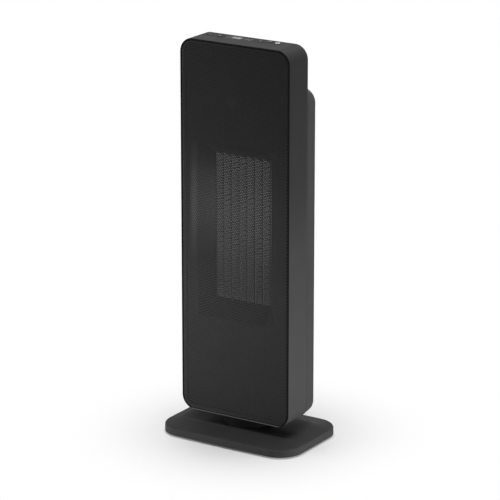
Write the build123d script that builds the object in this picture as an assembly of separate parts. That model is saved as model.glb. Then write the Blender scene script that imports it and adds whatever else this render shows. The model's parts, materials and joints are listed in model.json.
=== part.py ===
from build123d import *
import os
from math import acos, atan2, cos, degrees, hypot, pi, radians, sin, tan

# Tower fan heater. Millimetres, +Z up, -Y to the front, origin on the floor
# under the swivel axis at the middle of the base.

# Overall sizes
total_height = 620.0
tower_width = 192.0
tower_front = 41.0
band_depth = 50.0
corner_radius = 22.0
wall = 2.5
rim_round = 1.0

# Clearances, fits and cutting overrun
overrun = 1.0
snug_gap = 0.1
seat_gap = 0.3
panel_gap = 0.4
shaft_fit = 0.05
screw_fit = 0.1

# Base
base_width = 240.0
base_depth = 160.0
base_corner = 38.0
base_lift = 2.5
base_side_rise = 12.0
base_slope_rise = 5.5
base_slope_side = 20.0
base_slope_front = 35.0
base_shoulder = 4.0
base_plate_thickness = 3.0
ballast_thickness = 3.0
ballast_inset_side = 30.0
ballast_inset_front = 18.0
ballast_corner = 20.0
ballast_bore = 32.0
foot_radius = 8.0
foot_recess = 0.5
foot_inset = 24.0
base_boss_radius = 4.0
base_screw_inset_side = 23.0
base_screw_offset = 25.0

# Swivel
neck_height = 16.0
neck_radius = 38.0
neck_wall = 3.0
neck_disc_thickness = 3.0
neck_boss_radius = 3.5
neck_boss_height = 5.5
neck_screw_circle = 28.0
slide_ring_height = 1.0
slide_ring_width = 3.0
pivot_radius = 11.0
pivot_bore = 7.5
pivot_collar_wall = 5.0
pivot_collar_drop = 2.8
retaining_ring_radius = 17.0
retaining_ring_thickness = 2.5
gear_module = 1.0
ring_teeth = 40
pinion_teeth = 12
gear_height = 6.0
gear_bore_gap = 1.0
gear_backlash = 0.3
gear_pressure_angle = 20.0
gear_root_share = 1.25
pinion_lift = 1.0
pinion_phase_share = 0.5
swing_shaft_radius = 2.5
swing_motor_radius = 14.0
swing_motor_height = 19.0
swing_motor_offset = 8.0
swing_ear_reach = 17.5
swing_ear_radius = 3.5
swing_ear_thickness = 0.8
floor_plate_thickness = 2.0
floor_plate_corner = 8.0
floor_screw_inset = 8.0

# Tip-over switch in the base
tip_inset = 50.0
tip_rod_radius = 4.0
tip_flange_radius = 6.0
tip_flange_height = 1.5
tip_travel = 3.0
tip_pin_radius = 2.0
tip_pin_height = 2.5
tip_switch_length = 20.0
tip_switch_depth = 6.5
tip_switch_away = 8.0
tip_lever_thickness = 0.4
tip_lever_width = 4.0

# Front grille, its frame and the duct behind it
grille_recess = 0.6
grille_thickness = 1.0
grille_edge_gap = 0.9
grille_frame_depth = 3.0
grille_frame_width = 5.0
grille_hole_radius = 3.0
grille_hole_pitch = 12.0
duct_plate_thickness = 2.0
ledge_width = 13.0
ledge_thickness = 3.0
window_width = 142.0
window_height = 273.5
window_above_floor = 154.0
core_width = 98.7
core_height = 231.0
core_above_window_sill = 24.0
funnel_depth = 18.4
funnel_wall = 1.6
window_corner = 6.0
receiver_above_window = 67.0
receiver_x = -8.0
receiver_radius = 8.3
receiver_flange = 1.8
receiver_flange_thickness = 1.0
receiver_stand = 3.4
receiver_post_radius = 2.5
receiver_board_width = 36.0
receiver_board_height = 16.0
receiver_post_inset = 4.0

# Heating core
core_depth = 12.3
core_columns = 7
core_bar_width = 2.0
core_bar_inset = 1.5
fin_waves = 36
fin_thickness = 0.5
fin_flat = 0.4
end_frame_height = 20.0
end_frame_side = 4.0
ear_width = 12.0
ear_thickness = 3.0
ear_reach = 16.0
ear_place = 40.0
ear_hole_inset = 5.0
core_post_radius = 4.0
terminal_width = 6.3
terminal_thickness = 0.8
terminal_reach = 8.0
terminal_spacing = 22.0
cutout_radius = 7.0
cutout_height = 5.0
cutout_tab_width = 5.0
cutout_tab_reach = 5.0
cutout_tab_thickness = 0.8

# Blower
wheel_radius = 16.0
wheel_x = 18.0
wheel_y = 17.5
wheel_blades = 26
blade_depth = 4.5
blade_thickness = 0.8
blade_lean = 35.0
wheel_disc_thickness = 1.5
wheel_hub_radius = 5.0
wheel_hub_height = 6.0
wheel_end_gap = 2.5
scroll_radius = 20.0
scroll_shift = 1.5
scroll_wall = 1.5
scroll_start = 100.0
tongue_angle = 215.0
tongue_gap = 2.4
tongue_nose = 1.5
blower_plate_thickness = 2.5
blower_plate_overlap = 8.5
blower_plate_front = 12.0
blower_tab_width = 10.0
blower_tab_height = 8.0
blower_tab_thickness = 2.0
shaft_radius = 2.5
bearing_radius = 5.0
bearing_length = 6.0

# Motor
motor_radius = 18.5
motor_height = 40.0
motor_wall = 1.5
stator_bore = 11.6
stator_height = 22.0
winding_height = 6.0
winding_wall = 3.2
rotor_radius = 11.0
rotor_height = 26.0
shaft_stub = 6.0

# Boards
board_thickness = 1.6
main_board_width = 152.0
main_board_height = 100.0
main_board_above_floor = 31.5
main_board_stand = 10.4
board_post_radius = 3.5
board_post_inset = 6.0
relay_size = (19.0, 15.5, 15.0)
relay_spacing = 24.0
relay_above_edge = 22.0
lead_radius = 1.3
lead_bend = 3.0
connector_size = (60.0, 8.0, 10.0)

# Control strip on top
panel_left = 75.0
panel_right = 63.0
panel_front = 16.0
panel_back = 7.5
panel_corner = 6.0
panel_thickness = 1.2
panel_lip = 1.8
lens_left = 36.5
lens_right = 9.0
lens_front = 11.0
lens_back = 3.5
lens_corner = 1.5
lens_thickness = 0.6
lens_lip = 1.5
button_radius = 4.8
button_gap = 0.3
button_proud = 0.5
button_flange = 0.7
button_flange_thickness = 1.4
button_stem_radius = 2.0
button_stem_length = 3.2
button_travel = 0.6
button_round = 0.4
tact_size = 6.0
tact_height = 3.7
display_board_margin = 6.0
display_post_radius = 3.0
display_module_gap = 1.0

# Rear cover
rear_plate_thickness = 3.0
rear_plate_round = 2.2
bulge_depth = 32.0
bulge_top_drop = 67.0
bulge_side_taper = 6.0
bulge_top_taper = 6.0
bulge_round = 5.0
filter_width = 142.0
filter_height = 288.0
filter_above_floor = 150.0
filter_corner = 6.0
filter_pocket = 3.0
filter_thickness = 2.4
filter_rail = 8.0
filter_rib = 3.0
filter_mesh_thickness = 0.6
slot_height = 3.0
slot_pitch = 7.0
slot_side_margin = 10.0
slot_post = 6.0
shell_boss_radius = 4.5
shell_boss_inset = 14.0
shell_screw_high = 35.0
shell_screw_low = 24.0
shell_screw_middle = 264.0
shell_screw_length = 14.0
duct_screw_inset = 12.5
duct_screw_low = 64.0
duct_screw_high = 70.0
rocker_place = 50.0
rocker_above_floor = 54.0
rocker_flange_height = 21.0
rocker_flange_width = 15.0
rocker_flange_thickness = 1.2
rocker_body_height = 18.8
rocker_body_width = 12.6
rocker_body_depth = 14.0
rocker_wall = 0.8
rocker_gap = 0.3
rocker_half_length = 7.2
rocker_crown = 5.4
rocker_end_height = 4.4
rocker_hub = 2.0
rocker_pin = 1.0
rocker_pin_fit = 0.06
rocker_pivot_depth = 2.6
rocker_tilt = 10.0
gland_place = 54.0
gland_above_floor = 34.0
gland_bore = 3.4
gland_radius = 5.8
gland_flange = 8.0
gland_flange_thickness = 2.5
gland_length = 9.0
block_width = 26.0
block_depth = 14.0
block_height = 18.0
block_away = 14.0

# Screws
screw_radius = 1.5
screw_head_radius = 2.6
screw_head_height = 1.6
screw_bite = 8.0
pilot_share = 0.8
small_screw_radius = 1.0
small_head_radius = 1.8
small_head_height = 1.2
small_screw_bite = 5.0

# Levels and planes that follow from the sizes above
front_y = -tower_front
seam_y = front_y + band_depth
base_low = base_lift
base_edge = base_low + base_side_rise
base_top = base_edge + base_slope_rise
tower_low = base_top + neck_height
tower_high = total_height
shell_floor = tower_low + wall
shell_ceiling = tower_high - wall
half_width = tower_width / 2
inner_half = half_width - wall
tip_place = base_width / 2 - tip_inset

grille_front = front_y + grille_recess
grille_back = grille_front + grille_thickness
duct_front = grille_back + grille_frame_depth
duct_back = duct_front + duct_plate_thickness
ledge_back = duct_back + ledge_thickness
window_low = tower_low + window_above_floor
window_high = window_low + window_height
core_low = window_low + core_above_window_sill
core_high = core_low + core_height
core_front = duct_back + funnel_depth
core_back = core_front + core_depth
receiver_z = window_high + receiver_above_window

rear_plate_back = seam_y + rear_plate_thickness
rear_back = rear_plate_back + bulge_depth
bulge_high = tower_high - bulge_top_drop
rear_inside = rear_back - wall
filter_low = tower_low + filter_above_floor
filter_high = filter_low + filter_height
pocket_floor = rear_back - filter_pocket
pan_front = pocket_floor - wall
rocker_z = tower_low + rocker_above_floor
gland_z = tower_low + gland_above_floor

base_plate_top = base_low + base_plate_thickness
ballast_top = base_plate_top + ballast_thickness
base_ceiling = base_top - wall
collar_low = base_ceiling - pivot_collar_drop
retaining_top = collar_low - seat_gap
neck_low = base_top + slide_ring_height + snug_gap
neck_disc_low = shell_floor - neck_disc_thickness
floor_plate_top = shell_floor + floor_plate_thickness
ring_pitch_radius = gear_module * ring_teeth / 2
pinion_pitch_radius = gear_module * pinion_teeth / 2
pinion_place = ring_pitch_radius + pinion_pitch_radius
pinion_low = base_top + pinion_lift
pinion_hole = pinion_pitch_radius + gear_module + panel_gap

frame_low = core_low - end_frame_height
frame_high = core_high + end_frame_height
blower_low = core_low - blower_plate_overlap
blower_high = core_high + blower_plate_overlap
blower_under = blower_low - blower_plate_thickness
blower_over = blower_high + blower_plate_thickness
wheel_low = blower_low + wheel_end_gap
wheel_high = blower_high - wheel_end_gap
motor_high = blower_under
motor_low = motor_high - motor_height

main_board_front = duct_back + main_board_stand
main_board_back = main_board_front + board_thickness
main_board_low = tower_low + main_board_above_floor + board_post_inset
main_board_high = main_board_low + main_board_height
panel_low = tower_high - panel_thickness
button_flange_top = panel_low - snug_gap
button_flange_low = button_flange_top - button_flange_thickness
button_low = button_flange_low - button_stem_length
tact_top = button_low - button_travel - snug_gap
display_board_top = tact_top - tact_height
display_board_low = display_board_top - board_thickness
panel_length = panel_left + panel_right
panel_middle = (panel_right - panel_left) / 2

# Buttons: place along the strip as shares of its length from the left end,
# and place across it as shares of its depth from the front edge
button_places_share = {
    "power_button": (0.069, 0.47),
    "mode_button": (0.194, 0.47),
    "swing_button": (0.715, 0.47),
    "timer_button": (0.806, 0.68),
    "temperature_button": (0.917, 0.57),
}


def block(low, high):
    """Block between two opposite corners."""
    size = [b - a for a, b in zip(low, high)]
    middle = [(a + b) / 2 for a, b in zip(low, high)]
    return Pos(*middle) * Box(*size)


def column(x, y, low, high, radius):
    """Upright cylinder."""
    return Pos(x, y, (low + high) / 2) * Cylinder(radius, high - low)


def tube(x, y, low, high, outer, inner):
    """Upright tube."""
    solid = column(x, y, low, high, outer)
    return solid - column(x, y, low - overrun, high + overrun, inner)


def pin_y(x, z, front, back, radius):
    """Cylinder along Y."""
    return Pos(x, (front + back) / 2, z) * Rot(X=90) * Cylinder(radius, back - front)


def outline_xz(left, right, low, high, corner, y):
    """Upright rounded rectangle at one depth."""
    shape = Pos((left + right) / 2, (low + high) / 2) * RectangleRounded(right - left, high - low, corner)
    return Plane.XZ.offset(-y) * shape


def slab(half, low, high, corner, front, back):
    """Upright rounded slab, centred on the swivel axis."""
    return extrude(outline_xz(-half, half, low, high, corner, front), amount=front - back)


def plate_xy(width, depth, corner, low, high):
    """Flat rounded plate, centred on the swivel axis."""
    return Pos(0, 0, low) * extrude(RectangleRounded(width, depth, corner), amount=high - low)


def frustum_xz(near, far, front, back):
    """Solid between two upright rounded rectangles given as left, right, low, high, corner."""
    return loft([outline_xz(*near, front), outline_xz(*far, back)], ruled=True)


def screw(seat, out, length, radius=screw_radius, head=screw_head_radius, rise=screw_head_height):
    """Pan-head screw whose head sits on seat and points along out."""
    body = Pos(0, 0, rise / 2) * Cylinder(head, rise)
    body += Pos(0, 0, -length / 2) * Cylinder(radius, length)
    return Plane(origin=seat, z_dir=out).location * body


def small_screw(seat, out, length):
    """Small pan-head screw."""
    return screw(seat, out, length, small_screw_radius, small_head_radius, small_head_height)


def bore(seat, out, depth, radius):
    """Cutter for a hole that starts at seat and goes against out."""
    cutter = Pos(0, 0, (overrun - depth) / 2) * Cylinder(radius, depth + overrun)
    return Plane(origin=seat, z_dir=out).location * cutter


def group(shapes):
    """Separate solids that share one node."""
    return Compound(children=[solid for shape in shapes for solid in shape.solids()])


def corners(x, y):
    """The four mirrored places of one point."""
    return [(sx * x, sy * y) for sx in (-1, 1) for sy in (-1, 1)]


up = (0, 0, 1)
down = (0, 0, -1)
backwards = (0, 1, 0)
forwards = (0, -1, 0)


# Base


def base_form(inset, drop):
    """Outer form of the base, or its hollow when inset and lowered by the wall."""
    width = base_width - 2 * inset
    depth = base_depth - 2 * inset
    corner = base_corner - inset
    edge = base_edge - drop
    body = plate_xy(width, depth, corner, base_low, edge)
    lower = Pos(0, 0, edge) * RectangleRounded(width, depth, corner)
    crown_corner = max(corner - base_slope_side, corner / 4)
    crown = RectangleRounded(width - 2 * base_slope_side, depth - 2 * base_slope_front, crown_corner)
    upper = Pos(0, 0, edge + base_slope_rise) * crown
    return body + loft([lower, upper], ruled=True)


def base_screw_places():
    return corners(base_width / 2 - base_screw_inset_side, base_screw_offset)


def foot_places():
    return corners(base_width / 2 - foot_inset, base_depth / 2 - foot_inset)


def base_cover():
    outer = base_form(0, 0)
    shoulder = outer.edges().filter_by_position(Axis.Z, base_edge - overrun / 2, base_edge + overrun / 2)
    outer = fillet(shoulder, base_shoulder)
    hollow = base_form(wall, wall)
    hollow += plate_xy(base_width - 2 * wall, base_depth - 2 * wall, base_corner - wall,
                       base_low - overrun, base_plate_top)
    cover = outer - hollow
    collar = column(0, 0, collar_low, base_top - wall / 2, pivot_radius + pivot_collar_wall)
    cover += collar
    for x, y in base_screw_places():
        boss = column(x, y, base_plate_top, base_top, base_boss_radius)
        cover += boss & outer
    cover -= column(0, 0, collar_low - overrun, base_top + overrun, pivot_radius + shaft_fit)
    for x, y in base_screw_places():
        cover -= bore((x, y, base_plate_top), down, screw_bite, screw_radius + screw_fit)
    return cover


def base_plate():
    gap = wall + seat_gap
    plate = plate_xy(base_width - 2 * gap, base_depth - 2 * gap, base_corner - gap, base_low, base_plate_top)
    for x, y in foot_places():
        plate -= bore((x, y, base_low), down, foot_recess, foot_radius + snug_gap)
    for x, y in base_screw_places():
        plate -= bore((x, y, base_low), down, screw_head_height + snug_gap, screw_head_radius + panel_gap)
        plate -= bore((x, y, base_low), down, base_plate_thickness + overrun, screw_radius + screw_fit)
    plate -= bore((-tip_place, 0, base_low), down, base_plate_thickness + overrun, tip_rod_radius + seat_gap)
    return plate


def ballast_plate():
    width = base_width - 2 * ballast_inset_side
    depth = base_depth - 2 * ballast_inset_front
    plate = plate_xy(width, depth, ballast_corner, base_plate_top, ballast_top)
    plate -= column(0, 0, base_plate_top - overrun, ballast_top + overrun, ballast_bore)
    for x, y in base_screw_places():
        cutter = column(x, y, base_plate_top - overrun, ballast_top + overrun, base_boss_radius + overrun)
        plate -= cutter
    guide = tip_flange_radius + overrun
    plate -= column(-tip_place, 0, base_plate_top - overrun, ballast_top + overrun, guide)
    return plate


def rubber_feet():
    return group([column(x, y, 0, base_low + foot_recess, foot_radius) for x, y in foot_places()])


def base_screws():
    """Screws of the base plate and the smaller ones that hold the ring gear."""
    seat = base_low + screw_head_height + snug_gap
    length = base_plate_top - seat + screw_bite - overrun
    screws = [screw((x, y, seat), down, length) for x, y in base_screw_places()]
    seat = base_top + gear_height
    screws += [small_screw((x, y, seat), up, gear_height - snug_gap) for x, y in ring_screw_places()]
    return group(screws)


def slide_ring():
    outer = neck_radius
    return tube(0, 0, base_top, base_top + slide_ring_height, outer, outer - slide_ring_width)


# Swing gears


def gear_face(teeth, phase):
    """Spur gear outline with involute flanks, thinned by the backlash."""
    pitch_radius = gear_module * teeth / 2
    pressure = radians(gear_pressure_angle)
    base_circle = pitch_radius * cos(pressure)
    tip = pitch_radius + gear_module
    root = pitch_radius - gear_root_share * gear_module
    half_tooth = pi / (2 * teeth) - gear_backlash / (4 * pitch_radius)
    steps = 5
    low = max(base_circle, root)
    flank = []
    for step in range(steps):
        radius = low + (tip - low) * step / (steps - 1)
        roll = acos(base_circle / radius)
        turn = half_tooth + tan(pressure) - pressure - tan(roll) + roll
        flank.append((radius, turn))
    points = []
    for tooth in range(teeth):
        middle = 2 * pi * (tooth + phase) / teeth
        profile = [(root, -flank[0][1])]
        profile += [(radius, -turn) for radius, turn in flank]
        profile += [(radius, turn) for radius, turn in reversed(flank)]
        profile += [(root, flank[0][1])]
        points += [(r * cos(middle + t), r * sin(middle + t)) for r, t in profile]
    return make_face(Polyline(*dedupe(points), close=True))


def dedupe(points):
    """Drop a point that repeats the one before it."""
    kept = [points[0]]
    for point in points[1:]:
        if hypot(point[0] - kept[-1][0], point[1] - kept[-1][1]) > snug_gap / 100:
            kept.append(point)
    return kept


def ring_screw_places():
    root = ring_pitch_radius - gear_root_share * gear_module
    circle = (root + pivot_radius + gear_bore_gap) / 2
    return [(circle * cos(a), circle * sin(a)) for a in (pi / 3, pi, 5 * pi / 3)]


def swing_ring_gear():
    gear = Pos(0, 0, base_top) * extrude(gear_face(ring_teeth, 0), amount=gear_height)
    gear -= column(0, 0, base_top - overrun, base_top + gear_height + overrun, pivot_radius + gear_bore_gap)
    for x, y in ring_screw_places():
        seat = (x, y, base_top + gear_height)
        gear -= bore(seat, up, gear_height + overrun, small_screw_radius + screw_fit)
    return gear


def swing_pinion():
    gear = extrude(gear_face(pinion_teeth, pinion_phase_share), amount=gear_height)
    gear = Pos(pinion_place, 0, pinion_low) * gear
    shaft_low = pinion_low - pinion_lift / 2
    shaft = column(pinion_place, 0, shaft_low, floor_plate_top - snug_gap, swing_shaft_radius)
    return gear + shaft


def swing_motor():
    middle = pinion_place + swing_motor_offset
    top = floor_plate_top + swing_motor_height
    body = column(middle, 0, floor_plate_top, top, swing_motor_radius)
    ear_top = floor_plate_top + swing_ear_thickness
    for side in (-1, 1):
        body += column(middle, side * swing_ear_reach, floor_plate_top, ear_top, swing_ear_radius)
    strip = block((middle - swing_ear_radius, -swing_ear_reach, floor_plate_top),
                  (middle + swing_ear_radius, swing_ear_reach, ear_top))
    body += strip
    for side in (-1, 1):
        seat = (middle, side * swing_ear_reach, ear_top)
        body -= bore(seat, up, swing_ear_thickness + overrun, small_screw_radius + screw_fit)
    return body


# Swivel neck


def neck_screw_places():
    return corners(neck_screw_circle * cos(pi / 4), neck_screw_circle * sin(pi / 4))


def swivel_neck():
    disc = column(0, 0, neck_disc_low, shell_floor, neck_radius)
    collar = tube(0, 0, neck_low, neck_disc_low + overrun, neck_radius, neck_radius - neck_wall)
    pivot = column(0, 0, retaining_top, neck_disc_low + overrun, pivot_radius)
    neck = disc + collar + pivot
    for x, y in neck_screw_places():
        neck += column(x, y, neck_disc_low - neck_boss_height, neck_disc_low + overrun, neck_boss_radius)
    neck -= column(0, 0, retaining_top - overrun, shell_floor + overrun, pivot_bore)
    neck -= column(pinion_place, 0, neck_disc_low - overrun, shell_floor + overrun, pinion_hole)
    for x, y in neck_screw_places():
        neck -= bore((x, y, shell_floor), up, screw_bite - overrun / 2, screw_radius + screw_fit)
    for x, y in retaining_places():
        neck -= bore((x, y, retaining_top), down, small_screw_bite, small_screw_radius + screw_fit)
    return neck


def retaining_places():
    circle = (pivot_radius + pivot_bore) / 2
    return [(circle * cos(a), circle * sin(a)) for a in (pi / 3, pi, 5 * pi / 3)]


def retaining_ring():
    low = retaining_top - retaining_ring_thickness
    ring = tube(0, 0, low, retaining_top, retaining_ring_radius, pivot_bore)
    for x, y in retaining_places():
        ring -= bore((x, y, low), down, retaining_ring_thickness + overrun, small_screw_radius + screw_fit)
    return ring


def retaining_screws():
    low = retaining_top - retaining_ring_thickness
    length = retaining_ring_thickness + small_screw_bite - overrun
    return group([small_screw((x, y, low), down, length) for x, y in retaining_places()])


def floor_plate_depths():
    return ledge_back + panel_gap, rear_inside - wall


def floor_corner_places():
    front, back = floor_plate_depths()
    x = floor_half() - floor_screw_inset
    return [(sx * x, y) for sx in (-1, 1) for y in (front + floor_screw_inset, back - floor_screw_inset)]


def floor_half():
    """The flat of the floor ends where the corners of the tapered bulge begin."""
    return half_width - corner_radius - bulge_side_taper


def floor_plate():
    front, back = floor_plate_depths()
    half = floor_half()
    middle = (front + back) / 2
    shape = Pos(0, middle) * RectangleRounded(2 * half, back - front, floor_plate_corner)
    plate = Pos(0, 0, shell_floor) * extrude(shape, amount=floor_plate_thickness)
    plate -= column(0, 0, shell_floor - overrun, floor_plate_top + overrun, pivot_bore)
    plate -= column(pinion_place, 0, shell_floor - overrun, floor_plate_top + overrun, pinion_hole)
    for x, y in neck_screw_places() + floor_corner_places():
        plate -= bore((x, y, floor_plate_top), up, floor_plate_thickness + overrun, screw_radius + screw_fit)
    motor_middle = pinion_place + swing_motor_offset
    for side in (-1, 1):
        seat = (motor_middle, side * swing_ear_reach, floor_plate_top)
        plate -= bore(seat, up, floor_plate_thickness + overrun, small_screw_radius + screw_fit)
    return plate


def floor_screws():
    deep = floor_plate_thickness + screw_bite - overrun
    screws = [screw((x, y, floor_plate_top), up, deep) for x, y in neck_screw_places()]
    short = floor_plate_thickness + wall * pilot_share
    screws += [screw((x, y, floor_plate_top), up, short) for x, y in floor_corner_places()]
    motor_middle = pinion_place + swing_motor_offset
    ear_top = floor_plate_top + swing_ear_thickness
    length = swing_ear_thickness + floor_plate_thickness
    for side in (-1, 1):
        screws.append(small_screw((motor_middle, side * swing_ear_reach, ear_top), up, length))
    return group(screws)


def cut_floor(shell):
    """Neck opening and screw pilots in the floor of a shell."""
    shell -= column(0, 0, tower_low - overrun, shell_floor + snug_gap, neck_radius + panel_gap)
    for x, y in floor_corner_places():
        shell -= bore((x, y, shell_floor), up, wall * pilot_share + snug_gap, screw_radius + screw_fit)
    return shell


# Tip-over switch


def tip_levels():
    flange_low = base_plate_top + tip_travel
    flange_top = flange_low + tip_flange_height
    return flange_low, flange_top


def tip_plunger():
    flange_low, flange_top = tip_levels()
    plunger = column(-tip_place, 0, 0, flange_low + snug_gap, tip_rod_radius)
    plunger += column(-tip_place, 0, flange_low, flange_top, tip_flange_radius)
    plunger += column(-tip_place, 0, flange_top - snug_gap, flange_top + tip_pin_height, tip_pin_radius)
    return plunger


def tip_switch():
    flange_top = tip_levels()[1]
    lever_low = flange_top + tip_pin_height + seat_gap
    lever_top = lever_low + tip_lever_thickness
    near = -tip_place + tip_switch_away
    far = near + tip_switch_length
    half = tip_switch_depth / 2
    body = block((near, -half, ballast_top), (far, half, lever_top))
    lever = block((-tip_place - tip_pin_radius, -tip_lever_width / 2, lever_low),
                  (near + overrun, tip_lever_width / 2, lever_top))
    return body + lever


# Front shell and grille


def shell_screw_places():
    x = half_width - shell_boss_inset
    low = tower_low + shell_screw_low
    middle = tower_low + shell_screw_middle
    high = tower_high - shell_screw_high
    return [(side * x, z) for side in (-1, 1) for z in (low, middle, high)]


def duct_screw_places():
    x = half_width - duct_screw_inset
    low = tower_low + duct_screw_low
    high = tower_high - duct_screw_high
    return [(side * x, z) for side in (-1, 1) for z in (low, (low + high) / 2, high)]


def panel_outline(inset):
    """Control strip outline on top of the tower."""
    width = panel_length - 2 * inset
    depth = panel_front + panel_back - 2 * inset
    middle_y = (panel_back - panel_front) / 2
    return Pos(panel_middle, middle_y) * RectangleRounded(width, depth, panel_corner - inset)


def display_post_places():
    y = (panel_back - panel_front) / 2
    return [(-panel_left - display_post_radius, y), (panel_right + display_post_radius, y)]


def front_shell():
    shell = slab(half_width, tower_low, tower_high, corner_radius, front_y, seam_y)
    corner = corner_radius - wall
    shell -= slab(inner_half, shell_floor, shell_ceiling, corner, front_y - overrun, seam_y + overrun)
    rim = shell.edges().filter_by_position(Axis.Y, front_y - overrun / 2, front_y + overrun / 2)
    shell = fillet(rim, rim_round)
    ledge = slab(inner_half + snug_gap, shell_floor - snug_gap, shell_ceiling + snug_gap, corner,
                 duct_back, ledge_back)
    ledge -= slab(inner_half - ledge_width, shell_floor + ledge_width, shell_ceiling - ledge_width,
                  corner / 2, duct_back - overrun, ledge_back + overrun)
    shell += ledge
    for x, z in shell_screw_places():
        shell += pin_y(x, z, duct_back + ledge_thickness / 2, seam_y, shell_boss_radius)
    for x, y in display_post_places():
        shell += column(x, y, display_board_top, shell_ceiling + snug_gap, display_post_radius)
    shell -= Pos(0, 0, panel_low) * extrude(panel_outline(-snug_gap), amount=panel_thickness + overrun)
    shell -= Pos(0, 0, shell_ceiling - overrun) * extrude(panel_outline(panel_lip), amount=wall + overrun)
    shell = cut_floor(shell)
    for x, z in shell_screw_places():
        shell -= bore((x, seam_y, z), backwards, shell_screw_length, screw_radius + screw_fit)
    for x, z in duct_screw_places():
        shell -= bore((x, duct_back, z), forwards, ledge_thickness + overrun, screw_radius + screw_fit)
    for x, y in display_post_places():
        shell -= bore((x, y, display_board_top), down, small_screw_bite, small_screw_radius + screw_fit)
    return shell


def grille_outline(gap):
    """Half width, low, high and corner of a panel inside the band."""
    inset = wall + gap
    return half_width - inset, tower_low + inset, tower_high - inset, corner_radius - inset


def grille_holes():
    """Staggered holes over the outlet window, cut as one set."""
    across = int(window_width / grille_hole_pitch)
    upwards = int(window_height / grille_hole_pitch)
    middle = (window_low + window_high) / 2
    holes = []
    for row in range(upwards):
        z = middle + (row - (upwards - 1) / 2) * grille_hole_pitch
        shift = (row % 2) / 2 - 1 / 4
        for place in range(across):
            x = (place - (across - 1) / 2 + shift) * grille_hole_pitch
            holes.append(Pos(x, z) * Circle(grille_hole_radius))
    return holes


def front_grille():
    half, low, high, corner = grille_outline(grille_edge_gap)
    face = Pos(0, (low + high) / 2) * RectangleRounded(2 * half, high - low, corner)
    face = face - grille_holes()
    return extrude(Plane.XZ.offset(-grille_front) * face, amount=-grille_thickness)


def grille_frame():
    half, low, high, corner = grille_outline(grille_edge_gap)
    frame = slab(half, low, high, corner, grille_back, duct_front)
    width = grille_frame_width
    frame -= slab(half - width, low + width, high - width, corner - width, grille_back - overrun,
                  duct_front + overrun)
    return frame


def window_rim(grow):
    half = window_width / 2 + grow
    return -half, half, window_low - grow, window_high + grow, window_corner


def core_rim(grow):
    half = core_width / 2 + grow
    return -half, half, core_low - grow, core_high + grow, window_corner / 2


def core_post_places():
    low = frame_low - ear_reach + ear_hole_inset
    high = frame_high + ear_reach - ear_hole_inset
    return [(side * ear_place, z) for side in (-1, 1) for z in (low, high)]


def main_board_posts():
    x = main_board_width / 2 - board_post_inset
    return [(side * x, z) for side in (-1, 1)
            for z in (main_board_low + board_post_inset, main_board_high - board_post_inset)]


def receiver_posts():
    reach = receiver_board_width / 2 - receiver_post_inset
    return [(receiver_x - reach, receiver_z), (receiver_x + reach, receiver_z)]


def outlet_duct():
    half, low, high, corner = grille_outline(panel_gap)
    duct = slab(half, low, high, corner, duct_front, duct_back)
    duct += frustum_xz(window_rim(funnel_wall), core_rim(funnel_wall), duct_back, core_front)
    for x, z in core_post_places():
        duct += pin_y(x, z, duct_front + overrun, core_front, core_post_radius)
    for x, z in main_board_posts():
        duct += pin_y(x, z, duct_front + overrun, main_board_front, board_post_radius)
    for x, z in receiver_posts():
        duct += pin_y(x, z, duct_front + overrun, duct_back + receiver_stand, receiver_post_radius)
    duct -= slab(window_width / 2, window_low, window_high, window_corner, duct_front - overrun, duct_back)
    duct -= frustum_xz(window_rim(0), core_rim(0), duct_back, core_front)
    hole_radius = receiver_radius + snug_gap
    duct -= pin_y(receiver_x, receiver_z, duct_front - overrun, duct_back + overrun, hole_radius)
    for x, z in duct_screw_places():
        duct -= bore((x, duct_front, z), forwards, duct_plate_thickness + overrun, screw_radius + screw_fit)
    for x, z in core_post_places():
        duct -= bore((x, core_front, z), backwards, screw_bite, screw_radius + screw_fit)
    for x, z in main_board_posts():
        duct -= bore((x, main_board_front, z), backwards, small_screw_bite, small_screw_radius + screw_fit)
    for x, z in receiver_posts():
        seat = (x, duct_back + receiver_stand, z)
        duct -= bore(seat, backwards, receiver_stand, small_screw_radius + screw_fit)
    return duct


def duct_screws():
    length = duct_plate_thickness + ledge_thickness
    return group([screw((x, duct_front, z), forwards, length) for x, z in duct_screw_places()])


def receiver_lens():
    lens = pin_y(receiver_x, receiver_z, duct_front, duct_back + snug_gap, receiver_radius)
    flange = receiver_radius + receiver_flange
    lens += pin_y(receiver_x, receiver_z, duct_back, duct_back + receiver_flange_thickness, flange)
    dome = lens.faces().sort_by(Axis.Y)[0].edges()
    return fillet(dome, duct_plate_thickness / 2)


def receiver_board():
    front = duct_back + receiver_stand
    back = front + board_thickness
    half = receiver_board_width / 2
    tall = receiver_board_height / 2
    board = block((receiver_x - half, front, receiver_z - tall),
                  (receiver_x + half, back, receiver_z + tall))
    eye_front = duct_back + receiver_flange_thickness + seat_gap
    eye = block((receiver_x - tall / 2, eye_front, receiver_z - tall / 2),
                (receiver_x + tall / 2, front + snug_gap, receiver_z + tall / 2))
    board += eye
    for x, z in receiver_posts():
        board -= bore((x, back, z), backwards, board_thickness + overrun, small_screw_radius + screw_fit)
    return board


# Heating core


def core_bars():
    """Flat heating bars between the fin columns."""
    pitch = (core_width - core_bar_width) / core_columns
    front = core_front + core_bar_inset
    back = core_back - core_bar_inset
    bars = []
    for place in range(core_columns + 1):
        left = place * pitch - core_width / 2
        bars.append(block((left, front, core_low), (left + core_bar_width, back, core_high)))
    return group(bars)


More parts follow.
